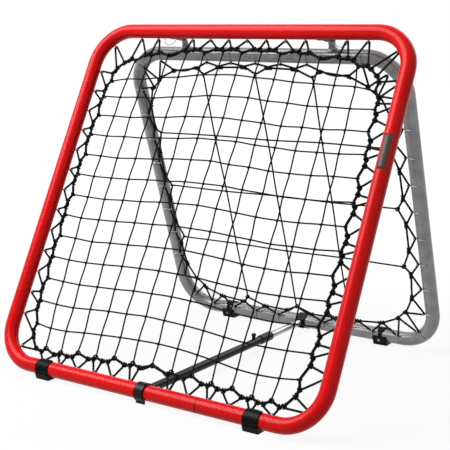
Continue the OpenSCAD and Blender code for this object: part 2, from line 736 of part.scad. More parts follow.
// Clip body with its socket and the spigot that enters a tube of bore r
module clip(slack, r) {
    difference() {
        union() {
            slice(clip_len) clip_outline(slack);
            rotate([-90, 0, 0]) translate([0, 0, clip_out_r - 3])
                cylinder(r = strut_d / 2, h = strut_start - clip_out_r + 3);
            rotate([-90, 0, 0]) translate([0, 0, strut_start - 1]) cylinder(r = r - fit, h = spigot_len + 1);
        }
        translate([-strut_d, strut_start + rivet_s, 0]) rotate([0, 90, 0])
            cylinder(r = rivet_r + fit, h = 2 * strut_d);
    }
}

module strut_front_clip() {
    color(BLACK) strut_place() clip(0, strut_bore_r);
}

// Cross rivet with two low heads, through a tube of radius r
module cross_rivet(r) {
    rotate([0, 90, 0]) {
        translate([0, 0, -r - 0.1]) cylinder(r = rivet_r, h = 2 * r + 0.2);
        for (m = [-1, 1]) translate([0, 0, m * (r + 0.8)]) cylinder(r = rivet_r + 1.6, h = 1.4, center = true);
    }
}

module front_clip_rivet() {
    color(BRIGHT) strut_place() translate([0, strut_start + rivet_s, 0]) cross_rivet(strut_d / 2 + fit);
}

boss_r = 5.5;
boss_h = 4;
thread_r = 2.5;

// Outer tube of the strut, with the threaded boss for the lock knob
module strut_tube() {
    len = collar_end - 25 - strut_start;
    color(BLACK) strut_place() difference() {
        union() {
            translate([0, strut_start, 0]) rotate([-90, 0, 0]) cylinder(r = strut_d / 2, h = len);
            translate([0, knob_s, 0]) cylinder(r = boss_r, h = strut_d / 2 + boss_h);
        }
        translate([0, strut_start - 1, 0]) rotate([-90, 0, 0]) cylinder(r = strut_bore_r, h = len + 2);
        translate([0, knob_s, 0]) cylinder(r = thread_r + fit, h = strut_d);
        translate([-strut_d, strut_start + rivet_s, 0]) rotate([0, 90, 0])
            cylinder(r = rivet_r + fit, h = 2 * strut_d);
    }
}

// Moulded collar over the outer tube's end, which guides the rod
module strut_collar() {
    color(BLACK) strut_place() translate([0, collar_end - collar_len, 0]) rotate([-90, 0, 0]) difference() {
        union() {
            cylinder(r1 = collar_d / 2 - 1, r2 = collar_d / 2, h = 3);
            translate([0, 0, 3]) cylinder(r = collar_d / 2, h = collar_len - 6);
            translate([0, 0, collar_len - 3]) cylinder(r1 = collar_d / 2, r2 = collar_d / 2 - 1.5, h = 3);
        }
        translate([0, 0, -1]) cylinder(r = strut_d / 2 + fit, h = collar_seat + 1);
        translate([0, 0, -1]) cylinder(r = rod_d / 2 + fit, h = collar_len + 2);
    }
}

// Thumb screw: waisted head over a threaded stem that presses on the rod
module lock_knob() {
    seat = strut_d / 2 + boss_h + 0.4;
    color(BLACK) strut_place() translate([0, knob_s, 0]) {
        translate([0, 0, rod_d / 2 + loose]) cylinder(r = thread_r, h = seat - rod_d / 2);
        translate([0, 0, seat]) rotate_extrude() polygon([[0, 0], [knob_d * 0.34, 0], [knob_d * 0.34, 2],
            [knob_d * 0.46, 4], [knob_d / 2, 6], [knob_d / 2, 9], [knob_d * 0.4, 11], [knob_d * 0.2, 12], [0, 12]]);
    }
}

module strut_rod() {
    color(BRIGHT) strut_place() translate([0, rod_end - rod_len, 0]) difference() {
        rotate([-90, 0, 0]) cylinder(r = rod_d / 2, h = rod_len);
        translate([0, -1, 0]) rotate([-90, 0, 0]) cylinder(r = rod_bore_r, h = rod_len + 2);
        translate([-strut_d, rod_len - rivet_s, 0]) rotate([0, 90, 0])
            cylinder(r = rivet_r + fit, h = 2 * strut_d);
    }
}

// Plastic guide on the rod's inner end, which runs in the outer tube
module rod_guide() {
    color(BLACK) strut_place() translate([0, rod_end - rod_len, 0]) rotate([-90, 0, 0]) {
        translate([0, 0, -guide_len]) cylinder(r = strut_bore_r - fit, h = guide_len);
        translate([0, 0, -1]) cylinder(r = rod_bore_r - fit, h = guide_len + 1);
    }
}

module strut_rear_clip() {
    color(BLACK) strut_place() translate([0, spread, 0]) rotate([0, 0, 180]) clip(clip_slack, rod_bore_r);
}

module rear_clip_rivet() {
    color(BRIGHT) strut_place() translate([0, rod_end - rivet_s, 0]) cross_rivet(rod_d / 2 + fit);
}

// ---------- rings ----------

module front_tube() {
    color(RED) front_place() ring_tube(front_cw, front_ch, front_stations, front_foot_x, front_tilt,
        [for (a = [-1, 1], b = [-1, 1]) a * hinge_x + b * rivet_off]);
}

module front_joint_sleeve() {
    color(BRIGHT) front_place() joint_sleeve(front_stations);
}

module front_hooks() {
    color(BRIGHT) front_place() hooks(front_stations);
}

module rear_tube() {
    color(STEEL_GREY) rear_place() ring_tube(rear_cw, rear_ch, rear_stations, rear_foot_x, rear_tilt, []);
}

module rear_joint_sleeve() {
    color(BRIGHT) rear_place() joint_sleeve(rear_stations);
}

module rear_hooks() {
    color(BRIGHT) rear_place() hooks(rear_stations);
}

front_tube();
front_joint_sleeve();
front_hooks();
front_net();
front_lace();
front_foot_at(-front_foot_x);  // front_foot_left
front_foot_at(front_foot_x);  // front_foot_right
front_foot_screws();
hinge_bracket(-1);  // hinge_bracket_left
hinge_bracket(1);  // hinge_bracket_right
hinge_bracket_rivets();
hinge_pin(-1);  // hinge_pin_left
hinge_pin(1);  // hinge_pin_right
pin_keeper(-1);  // pin_keeper_left
pin_keeper(1);  // pin_keeper_right
rear_tube();
rear_joint_sleeve();
rear_hooks();
rear_net();
rear_lace();
rear_foot_at(-rear_foot_x);  // rear_foot_left
rear_foot_at(rear_foot_x);  // rear_foot_right
rear_foot_screws();
hinge_strap(-1);  // hinge_strap_left
hinge_strap(1);  // hinge_strap_right
hinge_bush(-1);  // hinge_bush_left
hinge_bush(1);  // hinge_bush_right
strut_front_clip();
front_clip_rivet();
strut_tube();
strut_collar();
lock_knob();
strut_rod();
rod_guide();
strut_rear_clip();
rear_clip_rivet();
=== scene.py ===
"""Looks of a folding ball rebounder: finishes for its steel, rubber and moulded pieces,
and the two tensioned nets with their ropes, knots and laces as round cords."""

import logging
import math
from dataclasses import dataclass, field
from enum import Enum

import bpy
import numpy as np
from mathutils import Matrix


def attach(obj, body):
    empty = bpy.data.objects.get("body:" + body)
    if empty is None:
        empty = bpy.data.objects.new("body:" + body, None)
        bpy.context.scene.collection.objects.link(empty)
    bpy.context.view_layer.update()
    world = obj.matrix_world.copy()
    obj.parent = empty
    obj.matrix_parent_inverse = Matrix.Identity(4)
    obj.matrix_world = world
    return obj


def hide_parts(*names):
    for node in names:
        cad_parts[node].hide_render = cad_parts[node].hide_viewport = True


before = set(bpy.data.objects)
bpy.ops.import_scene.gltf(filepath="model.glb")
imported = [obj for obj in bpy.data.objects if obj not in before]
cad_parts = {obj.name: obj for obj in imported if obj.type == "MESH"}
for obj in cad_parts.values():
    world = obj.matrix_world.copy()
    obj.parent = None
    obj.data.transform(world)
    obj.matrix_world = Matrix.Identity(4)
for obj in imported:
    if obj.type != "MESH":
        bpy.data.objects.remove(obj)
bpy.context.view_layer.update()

log = logging.getLogger("rebounder")
MM = 0.001
OFF_CENTRE = 1e-6  # keeps a direction from a knot's middle defined at the middle itself
TAU = 2.0 * math.pi
CORD_MAP = "cord"
CORNER = 99  # the index of a corner's hook among those of its side


# ---------------------------------------------------------------- small helpers


def linear(red: int, green: int, blue: int) -> tuple[float, float, float, float]:
    """Turns a display colour into the linear colour that a shader reads.

    Args:
        red, green, blue: display values from 0 to 255.

    Returns:
        Linear red, green, blue and an alpha of 1.
    """
    srgb = np.array([red, green, blue]) / 255.0
    low, high = srgb / 12.92, ((srgb + 0.055) / 1.055) ** 2.4
    return (*np.where(srgb <= 0.04045, low, high).tolist(), 1.0)


def unit(vectors: np.ndarray) -> np.ndarray:
    """Scales each vector in the last axis to length 1."""
    return vectors / np.linalg.norm(vectors, axis=-1, keepdims=True)


def arc_lengths(path: np.ndarray) -> np.ndarray:
    """The length along a path up to each of its points."""
    return np.concatenate([[0.0], np.cumsum(np.linalg.norm(np.diff(path, axis=0), axis=1))])


def turned(x: float, y: float, degrees: float) -> np.ndarray:
    """The plane vector (x, y) turned anticlockwise."""
    c, s = math.cos(math.radians(degrees)), math.sin(math.radians(degrees))
    return np.array([x * c - y * s, x * s + y * c])


def add_object(name: str, data: bpy.types.ID, material: bpy.types.Material | None = None
               ) -> bpy.types.Object:
    """Adds an object at the origin to the scene, with its material if it has one."""
    made = bpy.data.objects.new(name, data)
    bpy.context.scene.collection.objects.link(made)
    if material is not None:
        data.materials.append(material)
    return made


class Body(Enum):
    """The bodies of the frame that carry the pieces made here."""

    FRONT = "front_frame"
    REAR = "rear_frame"


# ---------------------------------------------------------------- shader groups


class Wiring:
    """Adds and joins the nodes of one shader tree."""

    def __init__(self, tree: bpy.types.NodeTree) -> None:
        """Works on that tree."""
        self.tree = tree

    def node(self, kind: str, **settings: object) -> bpy.types.Node:
        """Adds a node and sets its attributes."""
        made = self.tree.nodes.new(kind)
        for key, value in settings.items():
            setattr(made, key, value)
        return made

    def link(self, source: bpy.types.NodeSocket, target: bpy.types.NodeSocket) -> None:
        """Joins two sockets."""
        self.tree.links.new(source, target)

    def feed(self, target: bpy.types.NodeSocket, term: object) -> None:
        """Links target to a socket, or sets it to a plain value."""
        if isinstance(term, bpy.types.NodeSocket):
            self.link(term, target)
        else:
            target.default_value = term

    def spot(self) -> bpy.types.NodeSocket:
        """The shaded point's place in the object's own axes, in metres."""
        return self.node("ShaderNodeTexCoord").outputs["Object"]

    def maths(self, operation: str, *terms: object) -> bpy.types.NodeSocket:
        """Adds a Math node over sockets and numbers, and returns its result."""
        made = self.node("ShaderNodeMath", operation=operation)
        for place, term in enumerate(terms):
            self.feed(made.inputs[place], term)
        return made.outputs[0]

    def noise(self, vector: bpy.types.NodeSocket, scale: object, detail: float = 2.0,
              rough: float = 0.5) -> bpy.types.NodeSocket:
        """Adds a Noise Texture on vector and returns its value."""
        made = self.node("ShaderNodeTexNoise")
        for name, term in (("Vector", vector), ("Scale", scale), ("Detail", detail), ("Roughness", rough)):
            self.feed(made.inputs[name], term)
        return made.outputs["Fac"]

    def ramp(self, source: bpy.types.NodeSocket, low: float, high: float, to_low: float = 0.0,
             to_high: float = 1.0) -> bpy.types.NodeSocket:
        """Maps source from low..high to to_low..to_high, held at both ends."""
        made = self.node("ShaderNodeMapRange")
        self.link(source, made.inputs["Value"])
        for name, value in (("From Min", low), ("From Max", high), ("To Min", to_low), ("To Max", to_high)):
            made.inputs[name].default_value = value
        return made.outputs["Result"]

    def mix(self, share: bpy.types.NodeSocket, first: object, second: object) -> bpy.types.NodeSocket:
        """Mixes two colours by share and returns the colour."""
        made = self.node("ShaderNodeMix", data_type="RGBA")
        for place, term in ((0, share), (6, first), (7, second)):
            self.feed(made.inputs[place], term)
        return made.outputs[2]

    def blend(self, share: bpy.types.NodeSocket, first: bpy.types.Node, second: bpy.types.Node,
              output: str) -> None:
        """Mixes two shaders by share into a new output node of that kind."""
        mixed = self.node("ShaderNodeMixShader")
        for place, term in enumerate((share, first.outputs[0], second.outputs[0])):
            self.link(term, mixed.inputs[place])
        self.link(mixed.outputs[0], self.node(output).inputs["Surface"])


class GroupBuilder(Wiring):
    """Builds one shader node group with named sockets."""

    def __init__(self, name: str) -> None:
        """Starts an empty group called name."""
        super().__init__(bpy.data.node_groups.new(name, "ShaderNodeTree"))
        self.inputs = self.node("NodeGroupInput")
        self.outputs = self.node("NodeGroupOutput")

    def take(self, name: str, default: float | tuple[float, ...]) -> bpy.types.NodeSocket:
        """Adds a number or a colour to the group's inputs and returns its value."""
        kind = "NodeSocketColor" if isinstance(default, tuple) else "NodeSocketFloat"
        socket = self.tree.interface.new_socket(name, in_out="INPUT", socket_type=kind)
        socket.default_value = default
        return self.inputs.outputs[name]

    def give(self, name: str, source: bpy.types.NodeSocket, kind: str = "NodeSocketFloat") -> None:
        """Adds a socket of that kind to the group's outputs, fed by source."""
        self.tree.interface.new_socket(name, in_out="OUTPUT", socket_type=kind)
        self.link(source, self.outputs.inputs[name])


def build_mottle_group() -> bpy.types.NodeTree:
    """Slow drift of a finish over a surface: a second colour, a roughness and handling marks.

    Returns:
        A group with colour and roughness outputs.
    """
    g = GroupBuilder("finish_mottle")
    colour = g.take("Colour", (0.5, 0.5, 0.5, 1.0))
    second = g.take("Second colour", (0.4, 0.4, 0.4, 1.0))
    patch = g.take("Patch scale", 9.0)
    roughness = g.take("Roughness", 0.4)
    spread = g.take("Roughness spread", 0.1)
    spot = g.spot()
    slow = g.noise(spot, patch, 4.0, 0.55)
    fine = g.noise(spot, 160.0, 3.0, 0.6)
    share = g.ramp(g.maths("ADD", slow, g.maths("MULTIPLY", fine, 0.25)), 0.45, 0.80)
    g.give("Colour", g.mix(share, colour, second), "NodeSocketColor")
    swing = g.maths("MULTIPLY", g.maths("SUBTRACT", fine, 0.5), spread)
    drift = g.maths("MULTIPLY", g.maths("SUBTRACT", slow, 0.5), spread)
    g.give("Roughness", g.maths("ADD", roughness, g.maths("ADD", swing, drift)))
    return g.tree


def build_peel_group() -> bpy.types.NodeTree:
    """Fine waviness of a sprayed or moulded skin, as a height.

    Returns:
        A group with one height output.
    """
    g = GroupBuilder("skin_peel")
    scale = g.take("Scale", 700.0)
    slow_share = g.take("Slow share", 0.3)
    spot = g.spot()
    fine = g.noise(spot, scale, 2.0, 0.5)
    slow = g.noise(spot, g.maths("MULTIPLY", scale, 0.12), 1.0, 0.5)
    g.give("Height", g.maths("ADD", fine, g.maths("MULTIPLY", slow, slow_share)))
    return g.tree


def build_dust_group() -> bpy.types.NodeTree:
    """Thin dust that settles on faces that look upwards, broken up by noise.

    Returns:
        A group with one mask output.
    """
    g = GroupBuilder("settled_dust")
    amount = g.take("Amount", 0.2)
    up = g.node("ShaderNodeSeparateXYZ")
    g.link(g.node("ShaderNodeNewGeometry").outputs["Normal"], up.inputs[0])
    broken = g.ramp(g.noise(g.spot(), 45.0, 5.0, 0.7), 0.40, 0.75)
    facing = g.ramp(up.outputs["Z"], 0.2, 1.0)
    g.give("Mask", g.maths("MULTIPLY", g.maths("MULTIPLY", facing, broken), amount))
    return g.tree


def build_braid_group() -> bpy.types.NodeTree:
    """Two sets of strands that cross round a cord, from its own UV map (along, round).

    Returns:
        A group with a height and a mask of painted shade in the grooves between strands.
    """
    g = GroupBuilder("cord_braid")
    strands_along = g.take("Strands along", 260.0)
    strands_round = g.take("Strands round", 6.0)
    split = g.node("ShaderNodeSeparateXYZ")
    g.link(g.node("ShaderNodeUVMap", uv_map=CORD_MAP).outputs[0], split.inputs[0])
    along = g.maths("MULTIPLY", split.outputs["X"], strands_along)
    around = g.maths("MULTIPLY", split.outputs["Y"], strands_round)
    one = g.maths("SINE", g.maths("MULTIPLY", g.maths("ADD", along, around), TAU))
    two = g.maths("SINE", g.maths("MULTIPLY", g.maths("SUBTRACT", along, around), TAU))
    height = g.maths("MULTIPLY", g.maths("ADD", g.maths("MULTIPLY", one, two), 1.0), 0.5)
    g.give("Height", height)
    # Painted shade: the mask is 1 in the grooves between strands, where the height is low.
    g.give("Groove shade", g.ramp(height, 0.0, 0.45, 1.0, 0.0))
    return g.tree


def build_streak_group() -> bpy.types.NodeTree:
    """Brush or draw marks that run along one axis of the object.

    Returns:
        A group with one value output.
    """
    g = GroupBuilder("draw_streaks")
    across = g.take("Across", 420.0)
    along = g.take("Along", 14.0)
    mapping = g.node("ShaderNodeMapping")
    g.link(g.spot(), mapping.inputs["Vector"])
    sizes = g.node("ShaderNodeCombineXYZ")
    for place, size in enumerate((across, along, across)):
        g.link(size, sizes.inputs[place])
    g.link(sizes.outputs[0], mapping.inputs["Scale"])
    g.give("Value", g.noise(mapping.outputs[0], 1.0, 4.0, 0.6))
    return g.tree


def build_seam_shade_group() -> bpy.types.NodeTree:
    """Painted shade in the narrow gap where a ring's two tube ends meet under the paint, low on the object.

    The mask is 1 within half the line's width of the plane across X at Place, fades out
    over the next millimetre and stays below the top of the bottom tube.

    Returns:
        A group with one mask output.
    """
    half_width, fade, top = 0.0008, 0.001, 0.1
    g = GroupBuilder("butt_seam_painted_shade")
    plane = g.take("Place", 0.164)
    parts = g.node("ShaderNodeSeparateXYZ")
    g.link(g.spot(), parts.inputs[0])
    away = g.maths("ABSOLUTE", g.maths("SUBTRACT", parts.outputs[0], plane))
    line = g.ramp(away, half_width, half_width + fade, 1.0, 0.0)
    g.give("Mask", g.maths("MULTIPLY", line, g.maths("LESS_THAN", parts.outputs[2], top)))
    return g.tree


class Effects:
    """The shader groups that several finishes share, built once."""

    def __init__(self) -> None:
        """Builds every group."""
        self.mottle = build_mottle_group()
        self.peel = build_peel_group()
        self.dust = build_dust_group()
        self.braid = build_braid_group()
        self.streaks = build_streak_group()
        self.seam = build_seam_shade_group()


# ---------------------------------------------------------------- finishes


class Surface(Wiring):
    """One material around a Principled BSDF."""

    def __init__(self, name: str) -> None:
        """Starts a material called name with only its shader and output."""
        self.material = bpy.data.materials.new(name)
        self.material.use_nodes = True
        super().__init__(self.material.node_tree)
        self.shader = self.tree.nodes["Principled BSDF"]

    def group(self, tree: bpy.types.NodeTree, **values: object) -> bpy.types.Node:
        """Places a shared group and sets its inputs by name, with _ for a blank."""
        made = self.node("ShaderNodeGroup", node_tree=tree)
        for key, value in values.items():
            made.inputs[key.replace("_", " ")].default_value = value
        return made

    def finish(self, colour: bpy.types.NodeSocket, roughness: bpy.types.NodeSocket,
               height: bpy.types.NodeSocket, depth: float, **values: object) -> bpy.types.Material:
        """Feeds the shader and returns the material.

        Args:
            colour, roughness: sockets for the shader's own.
            height: the skin's relief, from 0 to 1.
            depth: how deep that relief is, in metres.
            values: plain values for other sockets, with _ for a blank.
        """
        bump = self.node("ShaderNodeBump")
        for name, term in (("Strength", 1.0), ("Distance", depth), ("Height", height)):
            self.feed(bump.inputs[name], term)
        self.link(colour, self.shader.inputs["Base Color"])
        self.link(roughness, self.shader.inputs["Roughness"])
        self.link(bump.outputs["Normal"], self.shader.inputs["Normal"])
        for key, value in values.items():
            self.shader.inputs[key.replace("_", " ")].default_value = value
        return self.material


DUST = linear(176, 172, 164)
WHITE = (1.0, 1.0, 1.0, 1.0)


@dataclass(frozen=True)
class PaintFinish:
    """A sprayed or moulded finish: colour drift, skin waviness, dust, gloss and, where given, a painted
    shade line at a butt joint.
    """

    name: str
    colour: tuple[float, ...]
    second: tuple[float, ...]
    roughness: float = 0.35
    spread: float = 0.12
    patch: float = 9.0
    peel_scale: float = 700.0
    peel_depth: float = 0.00003
    dust: float = 0.10
    coat: float = 0.0
    coat_roughness: float = 0.1
    metallic: float = 0.0
    specular: float = 0.5
    # Where set, a band across X at that place gets painted shade for the gap at the tube's butt joint,
    # seam_shade times the second colour.
    shaded_seam_at: float | None = None
    seam_shade: float = 0.12

    def build(self, effects: Effects) -> bpy.types.Material:
        """Makes the material.

        Args:
            effects: the shared shader groups.

        Returns:
            The finished material.
        """
        s = Surface(self.name)
        mottle = s.group(effects.mottle, Colour=self.colour, Second_colour=self.second,
                         Patch_scale=self.patch, Roughness=self.roughness, Roughness_spread=self.spread)
        dust = s.group(effects.dust, Amount=self.dust)
        colour = s.mix(dust.outputs["Mask"], mottle.outputs["Colour"], DUST)
        # Painted shade: a near-black band at the butt joint stands in for the shade in its gap.
        if self.shaded_seam_at is not None:
            seam = s.group(effects.seam, Place=self.shaded_seam_at)
            dark = (*(channel * self.seam_shade for channel in self.second[:3]), 1.0)
            colour = s.mix(seam.outputs["Mask"], colour, dark)
        peel = s.group(effects.peel, Scale=self.peel_scale)
        return s.finish(colour, mottle.outputs["Roughness"], peel.outputs["Height"], self.peel_depth,
                        Metallic=self.metallic, Coat_Weight=self.coat,
                        Coat_Roughness=self.coat_roughness, Specular_IOR_Level=self.specular)


@dataclass(frozen=True)
class SteelFinish:
    """Bare or plated steel with draw marks."""

    name: str
    colour: tuple[float, ...]
    dark: tuple[float, ...]
    roughness: float = 0.3
    across: float = 420.0
    along: float = 14.0
    streak_depth: float = 0.00001
    metallic: float = 1.0

    def build(self, effects: Effects) -> bpy.types.Material:
        """Makes the material.

        Args:
            effects: the shared shader groups.

        Returns:
            The finished material.
        """
        s = Surface(self.name)
        streaks = s.group(effects.streaks, Across=self.across, Along=self.along)
        mottle = s.group(effects.mottle, Colour=self.colour, Second_colour=self.dark,
                         Patch_scale=24.0, Roughness=self.roughness, Roughness_spread=0.2)
        colour = s.mix(streaks.outputs["Value"], mottle.outputs["Colour"], self.dark)
        return s.finish(colour, mottle.outputs["Roughness"], streaks.outputs["Value"], self.streak_depth,
                        Metallic=self.metallic)


@dataclass(frozen=True)
class CordFinish:
    """A braided cord: strands from the cord's own map, painted shade in their grooves, fuzz and a soft
    sheen.
    """

    name: str
    colour: tuple[float, ...]
    # The darker second colour: the cord's slow drift, and painted shade in the braid's grooves.
    drift_and_groove_shade: tuple[float, ...]
    strands_along: float
    strands_round: float
    depth: float = 0.00025
    roughness: float = 0.75
    sheen: float = 0.15

    def build(self, effects: Effects) -> bpy.types.Material:
        """Makes the material.

        Args:
            effects: the shared shader groups.

        Returns:
            The finished material.
        """
        s = Surface(self.name)
        braid = s.group(effects.braid, Strands_along=self.strands_along, Strands_round=self.strands_round)
        mottle = s.group(effects.mottle, Colour=self.colour, Second_colour=self.drift_and_groove_shade,
                         Patch_scale=30.0, Roughness=self.roughness, Roughness_spread=0.2)
        # Painted shade: the braid's grooves take the darker colour.
        colour = s.mix(braid.outputs["Groove shade"], mottle.outputs["Colour"], self.drift_and_groove_shade)
        return s.finish(colour, mottle.outputs["Roughness"], braid.outputs["Height"], self.depth,
                        Metallic=0.0, Sheen_Weight=self.sheen, Sheen_Roughness=0.5,
                        Specular_IOR_Level=0.12)


class Finishes:
    """Every material of the rebounder."""

    def __init__(self) -> None:
        """Builds the shared groups and then the materials."""
        effects = Effects()
        # The red and grey coats get a painted shade line at their rings' butt joints.
        self.red = PaintFinish("red_powder_coat", linear(226, 8, 10), linear(214, 4, 8), roughness=0.2,
                               spread=0.05, patch=7.0, peel_scale=220.0, peel_depth=0.000004, dust=0.0,
                               specular=0.13, shaded_seam_at=0.164).build(effects)
        self.grey = PaintFinish("grey_powder_coat", linear(153, 153, 154), linear(130, 130, 132),
                                roughness=0.3, spread=0.16, patch=30.0, peel_scale=260.0,
                                peel_depth=0.00002, dust=0.0, metallic=0.35,
                                shaded_seam_at=-0.164).build(effects)
        self.enamel = PaintFinish("black_enamel", linear(10, 10, 11), linear(6, 6, 7), roughness=0.22,
                                  spread=0.1, peel_scale=500.0, dust=0.0,
                                  specular=0.14).build(effects)
        self.nylon = PaintFinish("black_nylon", linear(8, 8, 9), linear(5, 5, 5), roughness=0.28,
                                 spread=0.15, peel_scale=900.0, peel_depth=0.00003, dust=0.01,
                                 specular=0.16).build(effects)
        self.rubber = PaintFinish("foot_rubber", linear(8, 8, 8), linear(5, 5, 5), roughness=0.34,
                                  spread=0.2, peel_scale=600.0, peel_depth=0.00005, dust=0.01,
                                  specular=0.09).build(effects)
        self.label = PaintFinish("blank_label", linear(80, 67, 58), linear(66, 55, 48), roughness=0.35,
                                 dust=0.0, coat=0.1, specular=0.2).build(effects)
        self.zinc = SteelFinish("zinc_wire", linear(196, 198, 201), linear(128, 129, 132),
                                roughness=0.34).build(effects)
        self.polished = SteelFinish("polished_steel", linear(205, 206, 208), linear(150, 151, 154),
                                    roughness=0.2, across=600.0, along=30.0).build(effects)
        self.bare = SteelFinish("bare_steel", linear(165, 165, 165), linear(110, 110, 110),
                                roughness=0.45).build(effects)
        # Each cord's second colour is both its darker drift and the painted shade in its braid's grooves.
        self.net = CordFinish("net_cord", linear(7, 7, 8), linear(2, 2, 2), 330.0, 4.0,
                              depth=0.00018, sheen=0.01).build(effects)
        self.rope = CordFinish("border_rope", linear(8, 8, 9), linear(2, 2, 2), 150.0, 8.0,
                               depth=0.0004, sheen=0.02).build(effects)
        self.lace = CordFinish("elastic_lace", linear(7, 7, 8), linear(2, 2, 2), 260.0, 8.0,
                               depth=0.0002, roughness=0.65, sheen=0.02).build(effects)


# ---------------------------------------------------------------- cords as surfaces


@dataclass
class CordMesh:
    """Gathers tubes, all of one piece, and turns them into one mesh."""

    points: list[np.ndarray] = field(default_factory=list)
    quads: list[np.ndarray] = field(default_factory=list)
    maps: list[np.ndarray] = field(default_factory=list)
    count: int = 0
    tip_reach: float = 0.3
    """How far an open end goes on past its last point, as a share of the radius."""
    tip_share: float = 0.02
    """The radius left at that tip, as a share of the tube's."""

    def add(self, path: np.ndarray, radius: float | np.ndarray, sides: int, reference: np.ndarray,
            closed: bool) -> None:
        """Adds a round tube along a path.

        Each ring is path + radius * (cos a * side + sin a * rise), where side is the
        tangent crossed with the reference direction and rise completes the frame. The
        ends of an open tube shrink to a point over one more ring.

        Args:
            path: points, shape (n, 3), in metres.
            radius: one radius, or one per point.
            sides: corners of a ring.
            reference: a direction that no tangent is parallel to, or one per point.
            closed: whether the last point joins the first.
        """
        if closed:
            tangent = unit(np.roll(path, -1, 0) - np.roll(path, 1, 0))
        else:
            tangent = unit(np.gradient(path, axis=0))
        radii = np.broadcast_to(np.asarray(radius, float), (len(path),)).copy()
        if not closed:
            path = np.concatenate([path[:1] - tangent[:1] * radii[0] * self.tip_reach, path,
                                   path[-1:] + tangent[-1:] * radii[-1] * self.tip_reach])
            tangent = np.concatenate([tangent[:1], tangent, tangent[-1:]])
            radii = np.concatenate([radii[:1] * self.tip_share, radii, radii[-1:] * self.tip_share])
            if np.ndim(reference) == 2:
                reference = np.concatenate([reference[:1], reference, reference[-1:]])
        side = unit(np.cross(tangent, np.broadcast_to(reference, tangent.shape)))
        rise = np.cross(side, tangent)
        angle = np.arange(sides) * TAU / sides
        ring = (np.cos(angle)[None, :, None] * side[:, None, :]
                + np.sin(angle)[None, :, None] * rise[:, None, :])
        verts = (path[:, None, :] + radii[:, None, None] * ring).reshape(-1, 3)
        n = len(path)
        rows = np.arange(n if closed else n - 1)
        i, j = np.meshgrid(rows, np.arange(sides), indexing="ij")
        nxt, turn = (i + 1) % n, (j + 1) % sides
        quads = np.stack([i * sides + j, i * sides + turn, nxt * sides + turn, nxt * sides + j], -1)
        run = arc_lengths(path)
        step = np.linalg.norm(path[0] - path[-1]) if closed else 0.0
        ahead = np.concatenate([run[1:], [run[-1] + step]])
        u = np.stack([run[i], run[i], ahead[i], ahead[i]], -1)
        v = np.stack([j, j + 1, j + 1, j], -1) / sides
        self.points.append(verts)
        self.quads.append(quads.reshape(-1, 4) + self.count)
        self.maps.append(np.stack([u, v], -1).reshape(-1, 2))
        self.count += len(verts)

    def piece(self, name: str, material: bpy.types.Material) -> bpy.types.Object:
        """Makes one smooth-shaded object of all the tubes added so far.

        Args:
            name: the piece's name.
            material: its finish.

        Returns:
            The new object, at the origin.
        """
        points, quads, maps = (np.concatenate(x) for x in (self.points, self.quads, self.maps))
        mesh = bpy.data.meshes.new(name)
        mesh.vertices.add(len(points))
        mesh.vertices.foreach_set("co", points.astype(np.float32).ravel())
        mesh.loops.add(quads.size)
        mesh.loops.foreach_set("vertex_index", quads.astype(np.int32).ravel())
        mesh.polygons.add(len(quads))
        mesh.polygons.foreach_set("loop_start", np.arange(0, quads.size, 4, dtype=np.int32))
        mesh.polygons.foreach_set("loop_total", np.full(len(quads), 4, np.int32))
        mesh.polygons.foreach_set("use_smooth", np.ones(len(quads), bool))
        mesh.update(calc_edges=True)
        layer = mesh.uv_layers.new(name=CORD_MAP)
        layer.data.foreach_set("uv", maps.astype(np.float32).ravel())
        mesh.validate()
        log.info("%s: %d points, %d faces", name, len(points), len(quads))
        return add_object(name, mesh, material)


def spline(points: np.ndarray, where: np.ndarray) -> np.ndarray:
    """Points of an open Catmull-Rom curve: on each span a cubic through its two ends
    whose slopes there are half the chord between the neighbours.

    Args:
        points: the curve's own points, shape (n, d).
        where: places on the curve, in spans from the first point.

    Returns:
        One point per place.
    """
    n = len(points)
    span = np.minimum(np.floor(where).astype(int), n - 2)
    t = (where - span)[..., None]
    p0, p1, p2, p3 = (points[np.clip(span + k, 0, n - 1)] for k in (-1, 0, 1, 2))
    return 0.5 * (2 * p1 + (p2 - p0) * t + (2 * p0 - 5 * p1 + 4 * p2 - p3) * t ** 2
                  + (3 * p1 - p0 - 3 * p2 + p3) * t ** 3)


class TautLoop:
    """A closed cord pulled straight between its points, with its corners eased.

    A place on it is the mean of the straight-sided loop over a short window of arc length.
    """

    WINDOW = np.linspace(-1, 1, 7)
    STEP = 1.0  # mm to each side, over which a direction is taken

    def __init__(self, points: np.ndarray, ease: float) -> None:
        """Takes the loop's points in order and half the window's length."""
        self.ease = ease
        self.closed = np.concatenate([points, points[:1]])
        self.ends = arc_lengths(self.closed)
        self.length = self.ends[-1]

    def at(self, s: np.ndarray) -> np.ndarray:
        """Points at arc lengths s."""
        spots = np.mod(np.asarray(s)[..., None] + self.WINDOW * self.ease, self.length)
        return np.stack([np.interp(spots, self.ends, self.closed[:, k]).mean(-1) for k in (0, 1)], -1)

    def ahead(self, s: np.ndarray) -> np.ndarray:
        """Directions of travel at arc lengths s."""
        return unit(self.at(np.asarray(s) + self.STEP) - self.at(np.asarray(s) - self.STEP))

    def outward(self, s: np.ndarray) -> np.ndarray:
        """Directions away from the net at arc lengths s."""
        ahead = self.ahead(s)
        return np.stack([ahead[..., 1], -ahead[..., 0]], -1)


# ---------------------------------------------------------------- rings and nets


